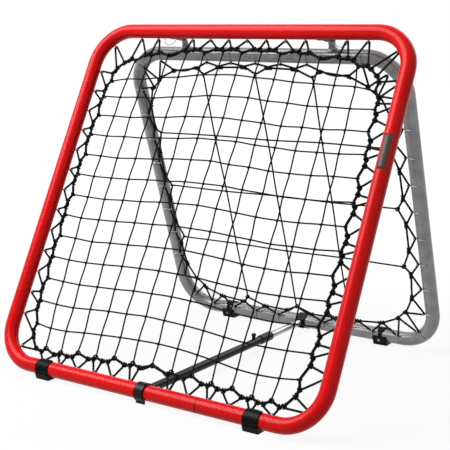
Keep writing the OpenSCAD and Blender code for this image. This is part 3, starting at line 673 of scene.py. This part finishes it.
@dataclass(frozen=True)
class RingPlace:
    """A ring's own axes in the row frame: across, up the ring, and to the inside of the A."""

    middle_y: float
    middle_z: float
    tilt_deg: float
    facing: float
    """1 for the front ring, -1 for the rear one, which is turned about the vertical."""

    def axes(self) -> np.ndarray:
        """Rows: across, inward, up the ring."""
        c, s = math.cos(math.radians(self.tilt_deg)), math.sin(math.radians(self.tilt_deg))
        f = self.facing
        return np.array([[f, 0, 0], [0, f * s, -c], [0, f * c, s]])

    def place(self, local: np.ndarray) -> np.ndarray:
        """Carries ring points (across, inward, up), in metres, into the row frame."""
        return local @ self.axes() + np.array([0.0, self.middle_y, self.middle_z])


@dataclass(frozen=True)
class CordForm:
    """How finely the cords are drawn, and knot sizes as shares of the cord's thickness."""

    cord_sides: int = 8
    rope_sides: int = 12
    knot_sides: int = 4
    loop_sides: int = 6
    hitch_sides: int = 5
    span_steps: int = 8
    """Points of a mesh cord from one knot to the next."""
    rope_step: float = 3.5
    """Arc length between the rope's points, in mm."""
    rope_close: float = 2.0
    """The least arc length left from the rope's last point to its first, in mm."""
    lace_step: float = 3.0
    """Arc length between the points of the lace where it is wound on, in mm."""
    leg_steps: int = 7
    weave: float = 0.42
    """How far a mesh cord swings out of the plane at each knot."""
    knot_points: int = 18
    knot_size: float = 0.27
    knot_depth: float = 0.5
    knot_radius: float = 0.32
    loop_points: int = 14
    loop_gap: float = 0.45
    loop_half: float = 0.6
    hitch_points: int = 17
    hitch_turns: float = 1.5
    hitch_gap: float = 0.3
    hitch_slide: float = 0.8
    hitch_radius: float = 0.38
    hitch_shift: float = 0.5
    """How far a hitch sits off the rope's centre, in mm."""


@dataclass
class Netting:
    """One tensioned net: meshes, knots, border rope and lace, all on the ring's inner plane.

    Lengths are in millimetres, as the maker's drawing has them.

    Attributes:
        centre_w, centre_h, bend_r: the tube ring's centre line.
        lines: indices of the mesh cords from the net's middle, the same both ways.
        cell: distance between two mesh cords.
        border_gap: from the tube's centre line to the border at rest.
        form: shares by which the sides, the top and the bottom bow in and corners are cut.
        shift, drop: moves of the whole net and of its level cords' pattern.
        mesh_d, rope_d, lace_d: thickness of the mesh cords, the border rope and the lace.
        picks: hook indices on each side, whose slots number hook_slots.
        side_margin, cross_margin: from a bend's end to the last hook, upright and level.
        hook_shift: move of both upright sides' hooks.
        tie_step: share of a side's half from one hook's tie to the next.
        odd_tie, even_tie: half the spread of a tie's two ends.
        bulge: how far a tie draws the rope out.
        odd_pull, even_pull: how far a mesh cord draws the rope in.
        corner_share: share of the border's half at which a corner's ties sit.
        net_offset, hook_in: from the tube's centre to the net's plane, and to the crook.
        apex_half, apex_dip: half width and depth of the lace's bend in the crook.
        cord_gap: room between lace and rope, below 0 where they press into each other.
        swing: radians by which the lace swings round the rope between two ties.
        swells, lean, scatter: slack of the knots.
        cords: how finely the cords are drawn.
    """

    name: str
    body: Body
    ring: RingPlace
    centre_w: float
    centre_h: float
    lines: tuple[int, ...]
    cell: float
    border_gap: float
    form: tuple[float, float, float, float]
    shift: tuple[float, float]
    drop: tuple[float, float]
    mesh_d: float
    rope_d: float
    picks: tuple[tuple[int, ...], ...]
    hook_slots: int
    side_margin: float
    cross_margin: float
    hook_shift: float
    tie_step: float
    odd_tie: float
    even_tie: float
    bulge: float
    odd_pull: float
    even_pull: float
    corner_share: float
    lace_d: float = 5.6
    bend_r: float = 100.0
    net_offset: float = 15.68
    hook_in: float = 18.69
    apex_half: float = 3.2
    apex_dip: float = 1.1
    cord_gap: float = -0.9
    swing: float = 1.9
    swells: tuple[tuple[float, float, float, float], ...] = ()
    lean: float = 0.0
    scatter: float = 1.0
    cords: CordForm = CordForm()

    SCATTER_STEPS = (12.9898, 78.233)
    SCATTER_START = 1.7
    SCATTER_GAIN = 4375.85
    NUDGE = 0.01  # the share of a side's half over which the border's direction is taken

    # -- plane geometry, as in the maker's drawing: side 0 bottom, 1 right, 2 top, 3 left

    def half(self) -> np.ndarray:
        """Half size of the border, across and up."""
        return np.array([self.centre_w, self.centre_h]) / 2 - self.border_gap

    def bowed(self, share: np.ndarray) -> np.ndarray:
        """Net place of a share (u, v) of its half size.

        The sides bow in with the square of v and the top and bottom with the square of u,
        each by its own share that fades inwards with the fourth power of the other
        coordinate; the corners are cut by a share of (u * v) to the power 8.
        """
        u, v = share[..., 0], share[..., 1]
        side, top, bottom, corner = self.form
        cut = 1 - corner * (u * v) ** 8
        level = np.where(v > 0, top, bottom)
        flat = np.stack([u * (1 - side * v ** 2 * u ** 4), v * (1 - level * u ** 2 * v ** 4)], -1)
        return np.array(self.shift) + self.half() * flat * cut[..., None]

    def border(self, side: np.ndarray, t: np.ndarray, out: np.ndarray) -> np.ndarray:
        """Border point on a side at share t, moved outwards by out."""
        one = np.ones_like(t)

        def spot(t: np.ndarray) -> np.ndarray:
            shares = np.stack([np.stack([t, -one], -1), np.stack([one, t], -1),
                               np.stack([-t, one], -1), np.stack([-one, -t], -1)])
            return self.bowed(np.take_along_axis(shares, side[None, :, None], 0)[0])

        run = unit(spot(t + self.NUDGE) - spot(t - self.NUDGE))
        return spot(t) + np.stack([run[:, 1], -run[:, 0]], -1) * out[:, None]

    def move_share(self, side: int, move: tuple[float, float]) -> float:
        """A move in the net's plane seen along a side, as a share."""
        return (move[0], move[1], -move[0], -move[1])[side] / self.half()[side % 2]

    def hooks(self) -> tuple[np.ndarray, np.ndarray, np.ndarray, np.ndarray]:
        """Every hook in order round the ring.

        Returns:
            Sides, indices (CORNER at a corner), places on the tube's centre line seen from
            the net's middle, and turns in degrees.
        """
        half_w, half_h = self.centre_w / 2, self.centre_h / 2
        arc_x, arc_y = half_w - self.bend_r, half_h - self.bend_r
        runs = (2 * (arc_x - self.cross_margin), 2 * (arc_y - self.side_margin))
        shifts = (0.0, self.hook_shift, 0.0, -self.hook_shift)
        middles = np.array([(0, -half_h), (half_w, 0), (0, half_h), (-half_w, 0)])
        bends = np.array([(arc_x, -arc_y), (arc_x, arc_y), (-arc_x, arc_y), (-arc_x, -arc_y)])
        found = []
        for k in range(4):
            step, angle = runs[k % 2] / self.hook_slots, 90 * k
            found += [(k, i, middles[k] + turned(i * step + shifts[k], 0.0, angle), -angle)
                      for i in self.picks[k]]
            found.append((k, CORNER, bends[k] + turned(0.0, -self.bend_r, angle + 45), -angle - 45))
        side, index, place, turn = (np.array(column) for column in zip(*found))
        return side, index, place, turn

    def tie(self, index: np.ndarray) -> np.ndarray:
        """Half the spread of a lace tie, wide and narrow in turn."""
        return np.where(index % 2 == 1, self.odd_tie, self.even_tie)

    def pull(self, index: np.ndarray) -> np.ndarray:
        """How far a mesh cord draws the border in."""
        return np.where(index % 2 == 1, self.odd_pull, self.even_pull)

    def rope_points(self) -> tuple[TautLoop, np.ndarray, np.ndarray]:
        """The border rope and where each hook's two ties are on it.

        Returns:
            The rope, then the arc length at the first and the second tie of every hook.
        """
        hook_side, hook_index, _, _ = self.hooks()
        side, t, out, owner = [], [], [], []
        for k in range(4):
            length = self.half()[k % 2]
            drop, back = self.move_share(k, self.drop), -self.move_share(k, self.shift)
            for h in np.flatnonzero((hook_side == k) & (hook_index != CORNER)):
                spread = self.tie(abs(hook_index[h])) / length
                for m in (-1, 1):
                    side.append(k)
                    t.append(hook_index[h] * self.tie_step + m * spread + back)
                    out.append(self.bulge)
                    owner.append((h, m))
            for i in self.lines:
                side.append(k)
                t.append(i * self.cell / length + drop)
                out.append(-float(self.pull(abs(np.array(i)))))
                owner.append((-1, 0))
            corner = int(np.flatnonzero((hook_side == k) & (hook_index == CORNER))[0])
            before = int(np.flatnonzero((hook_side == (k + 3) % 4) & (hook_index == CORNER))[0])
            side += [k, k]
            t += [-self.corner_share, self.corner_share]
            out += [self.bulge / 2, self.bulge / 2]
            owner += [(before, 1), (corner, -1)]
        side, t, out = np.array(side), np.array(t), np.array(out)
        order = np.lexsort((t, side))
        points = self.border(side[order], t[order], out[order])
        first = np.zeros(len(hook_side))
        second = np.zeros(len(hook_side))
        for spot, source in enumerate(order):
            hook, which = owner[source]
            if hook >= 0:
                (first if which < 0 else second)[hook] = spot
        loop = TautLoop(points, self.rope_d)
        return loop, loop.ends[first.astype(int)], loop.ends[second.astype(int)]

    def lift(self, flat: np.ndarray, inward: np.ndarray | float = 0.0) -> np.ndarray:
        """Carries net-plane points, in millimetres, into the row frame, in metres."""
        depth = np.broadcast_to(self.net_offset + np.asarray(inward, float), flat.shape[:-1])
        local = np.stack([flat[..., 0], depth, flat[..., 1] + self.centre_h / 2], -1)
        return self.ring.place(local * MM)

    # -- pieces

    def build(self, finishes: Finishes) -> None:
        """Makes the net, its knots, the border rope and the lace, and sets them riding."""
        normal = self.ring.axes()[1]
        loop, first, second = self.rope_points()
        drawn = [
            ("meshes", self.mesh_cords(normal), finishes.net, "net_cord", f"{self.name}_net"),
            ("knots", self.knots(), finishes.net, "net_cord", None),
            ("border_rope", self.rope(loop, normal), finishes.rope, "net_cord", None),
            ("lacing", self.lace(loop, first, second, normal), finishes.lace, "elastic_lace",
             f"{self.name}_lace"),
            ("hitches", self.hitches(loop, first, second), finishes.lace, "elastic_lace", None),
        ]
        for part, cord, finish, slot, node in drawn:
            made = cord.piece(f"{self.name}_{part}", finish)
            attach(made, self.body.value)
            if node:
                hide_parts(node)

    def slack(self, share: np.ndarray) -> np.ndarray:
        """How far slack and hand knotting carry a knot at share (u, v) off its place.

        Upwards, three swells along u, each exp(-((u - middle) / width) squared) times a
        height that grows or falls with v; sideways, one that ends at the top and bottom;
        and a fixed scatter from the fraction of a large sine.
        """
        u, v = share[..., 0], share[..., 1]
        rise = sum(((base + slope * v) * np.exp(-((u - middle) / width) ** 2)
                    for middle, width, base, slope in self.swells), np.zeros_like(u))
        lean = self.lean * ((1 - u) / 2) ** 2 * (1 - v ** 2)
        seed = np.arange(u.size).reshape(u.shape)
        scatter = np.stack([np.modf(np.sin(seed * step + self.SCATTER_START) * self.SCATTER_GAIN)[0]
                            for step in self.SCATTER_STEPS], -1)
        return np.stack([lean, rise], -1) + scatter * self.scatter

    def crossings(self) -> np.ndarray:
        """Mesh knots with the cords' ends, shape (lines + 2, lines + 2, 2), the corners unused."""
        n = len(self.lines)
        u = np.array(self.lines) * self.cell / self.half()[0]
        v = np.array(self.lines) * self.cell / self.half()[1] + self.move_share(1, self.drop)
        grid = np.zeros((n + 2, n + 2, 2))
        inner = np.stack(np.meshgrid(u, v, indexing="ij"), -1)
        grid[1:-1, 1:-1] = self.bowed(inner) + self.slack(inner)
        pull = -self.pull(np.abs(np.array(self.lines))).astype(float)
        flat = np.zeros(n, int)
        grid[1:-1, 0] = self.border(flat, u, pull)
        grid[1:-1, -1] = self.border(flat + 2, -u, pull)
        grid[-1, 1:-1] = self.border(flat + 1, v, pull)
        grid[0, 1:-1] = self.border(flat + 3, -v, pull)
        return grid

    def mesh_cords(self, normal: np.ndarray) -> CordMesh:
        """Upright and level cords; they pass in front of and behind each other at the knots."""
        made = CordMesh()
        grid = self.crossings()
        spans = len(self.lines) + 1
        where = np.linspace(0, spans, spans * self.cords.span_steps + 1)
        radius = self.mesh_d / 2 * MM
        for k in range(1, spans):
            wave = self.mesh_d * self.cords.weave * np.cos((where + k) * math.pi)
            for row, depth in ((grid[k], wave), (grid[:, k], -wave)):
                path = self.lift(spline(row, where), depth)
                made.add(path, radius, self.cords.cord_sides, normal, False)
        return made

    def knots(self) -> CordMesh:
        """A trefoil of cord at each crossing and a loop round the rope at each cord's end.

        The trefoil is ((2 + cos 3a) cos 2a, (2 + cos 3a) sin 2a, sin 3a).
        """
        made = CordMesh()
        grid = self.crossings()
        form = self.cords
        angle = np.arange(form.knot_points) * TAU / form.knot_points
        reach = 2 + np.cos(3 * angle)
        size = self.mesh_d * form.knot_size
        shape = np.stack([np.cos(2 * angle), np.sin(2 * angle)], -1) * reach[:, None] * size
        depth = np.sin(3 * angle) * self.mesh_d * form.knot_depth
        for centre in grid[1:-1, 1:-1].reshape(-1, 2):
            path = self.lift(centre + shape, depth)
            made.add(path, self.mesh_d * form.knot_radius * MM, form.knot_sides,
                     unit(path - self.lift(centre) + OFF_CENTRE), True)
        angle = np.arange(form.loop_points) * TAU / form.loop_points
        round_rope = self.rope_d / 2 + self.mesh_d * form.loop_gap
        ends = ((grid[1:-1, 0], (0.0, -1.0)), (grid[1:-1, -1], (0.0, 1.0)),
                (grid[0, 1:-1], (-1.0, 0.0)), (grid[-1, 1:-1], (1.0, 0.0)))
        for centres, out in ends:
            across = np.array([-out[1], out[0]])
            loop = (np.cos(angle)[:, None] * round_rope * np.array(out)
                    + np.sin(angle)[:, None] * across * self.mesh_d * form.loop_half)
            for centre in centres:
                made.add(self.lift(centre + loop, np.sin(angle) * round_rope), self.mesh_d / 2 * MM,
                         form.loop_sides, self.in_space(across), True)
        return made

    def in_space(self, flat: np.ndarray) -> np.ndarray:
        """A direction in the net's plane as one in the row frame."""
        across, _, up = self.ring.axes()
        return across * flat[0] + up * flat[1]

    def rope(self, loop: TautLoop, normal: np.ndarray) -> CordMesh:
        """The border rope, one closed tube."""
        made = CordMesh()
        s = np.arange(0.0, loop.length - self.cords.rope_close, self.cords.rope_step)
        made.add(self.lift(loop.at(s)), self.rope_d / 2 * MM, self.cords.rope_sides, normal, True)
        return made

    def lace_flat(self, loop: TautLoop, first: np.ndarray, second: np.ndarray
                  ) -> tuple[np.ndarray, np.ndarray]:
        """The lace's centre line: out to each hook, round its crook, back, and wound on along the rope.

        Between two ties the lace keeps a fixed distance from the rope's centre and swings
        round it by phase = swing * sin(pi * t), so it dips behind the rope and comes back.

        Returns:
            Net-plane points and how far each lies towards the inside.
        """
        _, _, tube, turn = self.hooks()
        apart = self.rope_d / 2 + self.lace_d / 2 + self.cord_gap
        angle = np.radians(turn)
        inner = np.stack([np.sin(angle), np.cos(angle)], -1)
        across = np.stack([np.cos(angle), -np.sin(angle)], -1)
        apex = tube + inner * self.hook_in
        following = np.roll(first, -1)
        following = np.where(following < second, following + loop.length, following)
        bend = np.linspace(-1, 1, self.cords.leg_steps)[:, None]
        leg = np.linspace(0, 1, self.cords.leg_steps)[:, None]
        flat, depth = [], []
        for k in range(len(first)):
            crook = apex[k] + across[k] * bend * self.apex_half - inner[k] * self.apex_dip * (1 - bend ** 2)
            start, stop = (loop.at(x) + loop.outward(x) * apart for x in (first[k], second[k]))
            out = start + (crook[0] - start) * leg[:-1]
            back = crook[-1] + (stop - crook[-1]) * leg[1:-1]
            run = following[k] - second[k]
            t = np.linspace(0, 1, 4 + int(run / self.cords.lace_step))[:-1]
            s = second[k] + run * t
            phase = self.swing * np.sin(math.pi * t)
            wound = loop.at(s) + loop.outward(s) * (apart * np.cos(phase))[:, None]
            flat += [out, crook, back, wound]
            depth += [np.zeros(len(out) + len(crook) + len(back)), apart * np.sin(phase)]
        return np.concatenate(flat), np.concatenate(depth)

    def lace(self, loop: TautLoop, first: np.ndarray, second: np.ndarray, normal: np.ndarray) -> CordMesh:
        """The endless elastic lace as one round cord."""
        made = CordMesh()
        flat, depth = self.lace_flat(loop, first, second)
        made.add(self.lift(flat, depth), self.lace_d / 2 * MM, self.cords.cord_sides, normal, True)
        return made

    def hitches(self, loop: TautLoop, first: np.ndarray, second: np.ndarray) -> CordMesh:
        """The half hitches that lock the lace to the rope, one and a half turns at each tie."""
        made = CordMesh()
        form = self.cords
        turn = np.linspace(0, form.hitch_turns * TAU, form.hitch_points)
        radius = self.rope_d / 2 + self.lace_d * form.hitch_gap
        slide = np.linspace(-form.hitch_slide, form.hitch_slide, form.hitch_points) * self.lace_d
        for where in np.concatenate([first, second]):
            centre, ahead, out = loop.at(where), loop.ahead(where), loop.outward(where)
            flat = (centre + out * form.hitch_shift + np.cos(turn)[:, None] * out * radius
                    + slide[:, None] * ahead)
            made.add(self.lift(flat, np.sin(turn) * radius), self.lace_d * form.hitch_radius * MM,
                     form.hitch_sides, self.in_space(ahead), False)
        return made


# ---------------------------------------------------------------- rigid pieces


@dataclass
class RigidParts:
    """The drawn parts, which keep their shape and only get their finish."""

    finishes: Finishes

    def dress(self) -> None:
        """Gives every node its finish."""
        f = self.finishes
        plan = {
            f.red: ("front_tube",),
            f.grey: ("rear_tube", "hinge_strap_left", "hinge_strap_right"),
            f.enamel: ("hinge_bracket_left", "hinge_bracket_right", "strut_tube"),
            f.nylon: ("strut_front_clip", "strut_rear_clip", "strut_collar", "lock_knob", "rod_guide",
                      "hinge_bush_left", "hinge_bush_right"),
            f.rubber: ("front_foot_left", "front_foot_right", "rear_foot_left", "rear_foot_right"),
            f.zinc: ("front_hooks", "rear_hooks", "front_foot_screws", "rear_foot_screws",
                     "hinge_bracket_rivets", "front_clip_rivet", "rear_clip_rivet"),
            f.polished: ("hinge_pin_left", "hinge_pin_right", "pin_keeper_left", "pin_keeper_right",
                         "strut_rod"),
            f.bare: ("front_joint_sleeve", "rear_joint_sleeve"),
            f.net: ("front_net", "rear_net"),
            f.lace: ("front_lace", "rear_lace"),
        }
        for material, nodes in plan.items():
            for node in nodes:
                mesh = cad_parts[node].data
                mesh.materials.clear()
                mesh.materials.append(material)
        log.info("finishes set on %d nodes", sum(len(nodes) for nodes in plan.values()))


@dataclass
class BlankLabel:
    """A plain sticker wrapped on the right side of the front ring."""

    ring: RingPlace
    tube_r: float = 19.0
    side_x: float = 476.0
    low: float = 604.0
    high: float = 690.0
    from_deg: float = 243.0
    to_deg: float = 307.0
    skin_gap: float = 0.02
    thickness: float = 0.15

    def build(self, material: bpy.types.Material) -> bpy.types.Object:
        """Makes the sticker: an arc just off the tube's skin, with a thin edge all round.

        Args:
            material: its finish.

        Returns:
            The new object.
        """
        angle = np.radians(np.linspace(self.from_deg, self.to_deg, 25))
        height = np.linspace(self.low, self.high, 13)
        a, h = np.meshgrid(angle, height, indexing="ij")
        shells = []
        for reach in (self.tube_r + self.skin_gap, self.tube_r + self.skin_gap + self.thickness):
            local = np.stack([self.side_x + reach * np.cos(a), reach * np.sin(a), h], -1)
            shells.append(self.ring.place(local.reshape(-1, 3) * MM))
        n, m = a.shape
        i, j = np.meshgrid(np.arange(n - 1), np.arange(m - 1), indexing="ij")
        top = np.stack([i * m + j, (i + 1) * m + j, (i + 1) * m + j + 1, i * m + j + 1], -1).reshape(-1, 4)
        rim = np.concatenate([np.arange(m), np.arange(1, n) * m + m - 1,
                              np.arange(m - 2, -1, -1) + (n - 1) * m, np.arange(n - 2, 0, -1) * m])
        after = np.roll(rim, -1)
        wall = np.stack([rim, after, after + n * m, rim + n * m], -1)
        faces = np.concatenate([top[:, ::-1], top + n * m, wall[:, ::-1]])
        mesh = bpy.data.meshes.new("blank_label")
        mesh.from_pydata(np.concatenate(shells).tolist(), [], faces.tolist())
        mesh.polygons.foreach_set("use_smooth", np.ones(len(faces), bool))
        mesh.update()
        made = add_object("blank_label", mesh, material)
        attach(made, Body.FRONT.value)
        return made


# ---------------------------------------------------------------- studio


@dataclass(frozen=True)
class Studio:
    """Camera, lamps, floor and background."""

    camera_at: tuple[float, float, float] = (1.5247, -2.2505, 0.8847)
    pitch_deg: float = 10.667
    yaw_deg: float = 34.526
    focal: float = 84.616
    sensor: float = 36.0
    middle: tuple[float, float, float] = (0.0, 0.0, 0.45)

    def build(self) -> None:
        """Makes everything that isn't part of the object."""
        self.camera()
        self.lamps()
        self.floor()
        self.background()
        bpy.context.scene.view_settings.view_transform = "Standard"

    def camera(self) -> None:
        """Places the camera."""
        data = bpy.data.cameras.new("view")
        data.sensor_width = self.sensor
        data.lens = self.focal
        made = add_object("view", data)
        made.location = self.camera_at
        made.rotation_euler = (math.radians(90 - self.pitch_deg), 0.0, math.radians(self.yaw_deg))
        bpy.context.scene.camera = made

    def lamp(self, name: str, at: tuple[float, float, float], size: float, power: float) -> None:
        """Adds a square area lamp that looks at the object's middle."""
        data = bpy.data.lights.new(name, "AREA")
        data.shape = "SQUARE"
        data.size = size
        data.energy = power
        made = add_object(name, data)
        aim = np.array(self.middle) - np.array(at)
        yaw = math.atan2(aim[1], aim[0])
        pitch = math.atan2(math.hypot(aim[0], aim[1]), -aim[2])
        made.location = at
        made.rotation_euler = (pitch, 0.0, yaw - math.pi / 2)

    def lamps(self) -> None:
        """A large key from the upper left, a weak fill from the right and a rear light."""
        self.lamp("key", (-1.9, -1.7, 3.4), size=3.0, power=215.0)
        self.lamp("fill", (3.2, -0.6, 1.2), size=2.0, power=4.0)
        self.lamp("back", (0.6, 2.8, 2.4), size=1.8, power=30.0)

    @staticmethod
    def floor() -> None:
        """A pale floor that the camera sees nearly white, with the object's shadow on it.

        Its own glow takes over with distance, so that it ends in the same white as the
        background.
        """
        mesh = bpy.data.meshes.new("floor")
        reach = 12.0
        corners = [(-reach, -reach, 0), (reach, -reach, 0), (reach, reach, 0), (-reach, reach, 0)]
        mesh.from_pydata(corners, [], [(0, 1, 2, 3)])
        material = bpy.data.materials.new("floor")
        material.use_nodes = True
        w = Wiring(material.node_tree)
        w.tree.nodes.clear()
        diffuse = w.node("ShaderNodeBsdfDiffuse")
        diffuse.inputs["Color"].default_value = (0.45, 0.45, 0.45, 1.0)
        glow = w.node("ShaderNodeEmission")
        glow.inputs["Color"].default_value = WHITE
        glow.inputs["Strength"].default_value = 1.08
        distance = w.node("ShaderNodeVectorMath", operation="LENGTH")
        w.link(w.spot(), distance.inputs[0])
        fade = w.ramp(distance.outputs["Value"], 0.7, 2.4, 0.84, 1.0)
        rays = w.node("ShaderNodeLightPath").outputs
        seen = w.maths("MAXIMUM", rays["Is Camera Ray"], rays["Is Glossy Ray"])
        w.blend(w.maths("MULTIPLY", seen, fade), diffuse, glow, "ShaderNodeOutputMaterial")
        made = add_object("floor", mesh, material)

    @staticmethod
    def background() -> None:
        """White where the camera, metal or glass sees it, and a soft grey as light."""
        world = bpy.data.worlds.new("studio")
        bpy.context.scene.world = world
        world.use_nodes = True
        w = Wiring(world.node_tree)
        w.tree.nodes.clear()
        rays = w.node("ShaderNodeLightPath").outputs
        direct = w.maths("MAXIMUM", rays["Is Camera Ray"], rays["Is Transmission Ray"])
        light, white = w.node("ShaderNodeBackground"), w.node("ShaderNodeBackground")
        for source, strength in ((light, 0.2), (white, 1.0)):
            source.inputs["Color"].default_value = WHITE
            source.inputs["Strength"].default_value = strength
        w.blend(w.maths("MAXIMUM", direct, rays["Is Glossy Ray"]), light, white, "ShaderNodeOutputWorld")


# ---------------------------------------------------------------- the rebounder

FRONT_RING = RingPlace(middle_y=-0.3785, middle_z=0.026, tilt_deg=62.4, facing=1.0)
REAR_RING = RingPlace(middle_y=0.3785, middle_z=0.026, tilt_deg=71.383, facing=-1.0)


def without(indices: range, *skipped: int) -> tuple[int, ...]:
    """The indices apart from those skipped."""
    return tuple(i for i in indices if i not in skipped)


def front_netting() -> Netting:
    """The front ring's fine net."""
    every = range(-6, 7)
    return Netting(
        name="front", body=Body.FRONT, ring=FRONT_RING, centre_w=952.0, centre_h=952.0,
        lines=tuple(every), cell=59.0, border_gap=51.0, form=(0.028, 0.08, -0.08, 0.06),
        shift=(-7.0, 7.0), drop=(0.0, -13.0), mesh_d=4.0, rope_d=7.0,
        picks=(without(every, 0), tuple(every), without(every, -4, 4), tuple(every)), hook_slots=12,
        side_margin=23.5, cross_margin=28.0, hook_shift=4.0, tie_step=0.1377, odd_tie=14.16, even_tie=25.96,
        bulge=3.0, odd_pull=4.0, even_pull=9.0, corner_share=0.948, lean=-9.0,
        swells=((-0.05, 0.35, 9.0, 5.0), (0.6, 0.28, -5.0, 4.5), (-0.72, 0.22, -3.0, 2.0)))


def rear_netting() -> Netting:
    """The rear ring's coarse net."""
    every = range(-4, 5)
    return Netting(
        name="rear", body=Body.REAR, ring=REAR_RING, centre_w=839.0, centre_h=826.5,
        lines=(-1, 0, 1), cell=173.0, border_gap=37.0, form=(0.03, 0.07, 0.05, 0.11),
        shift=(5.0, 5.0), drop=(0.0, 0.0), mesh_d=4.5, rope_d=5.5,
        picks=(without(every, 0), tuple(every), without(every, -3, 3), tuple(every)), hook_slots=8,
        side_margin=5.0, cross_margin=7.5, hook_shift=0.0, tie_step=0.204, odd_tie=34.0, even_tie=34.0,
        bulge=3.0, odd_pull=16.0, even_pull=16.0, corner_share=0.925)


def main() -> None:
    """Builds the studio first and then each assembly in order."""
    logging.basicConfig(level=logging.INFO, format="%(name)s: %(message)s")
    Studio().build()
    finishes = Finishes()
    RigidParts(finishes).dress()
    front_netting().build(finishes)
    rear_netting().build(finishes)
    BlankLabel(FRONT_RING).build(finishes.label)


if __name__ == "__main__":
    main()
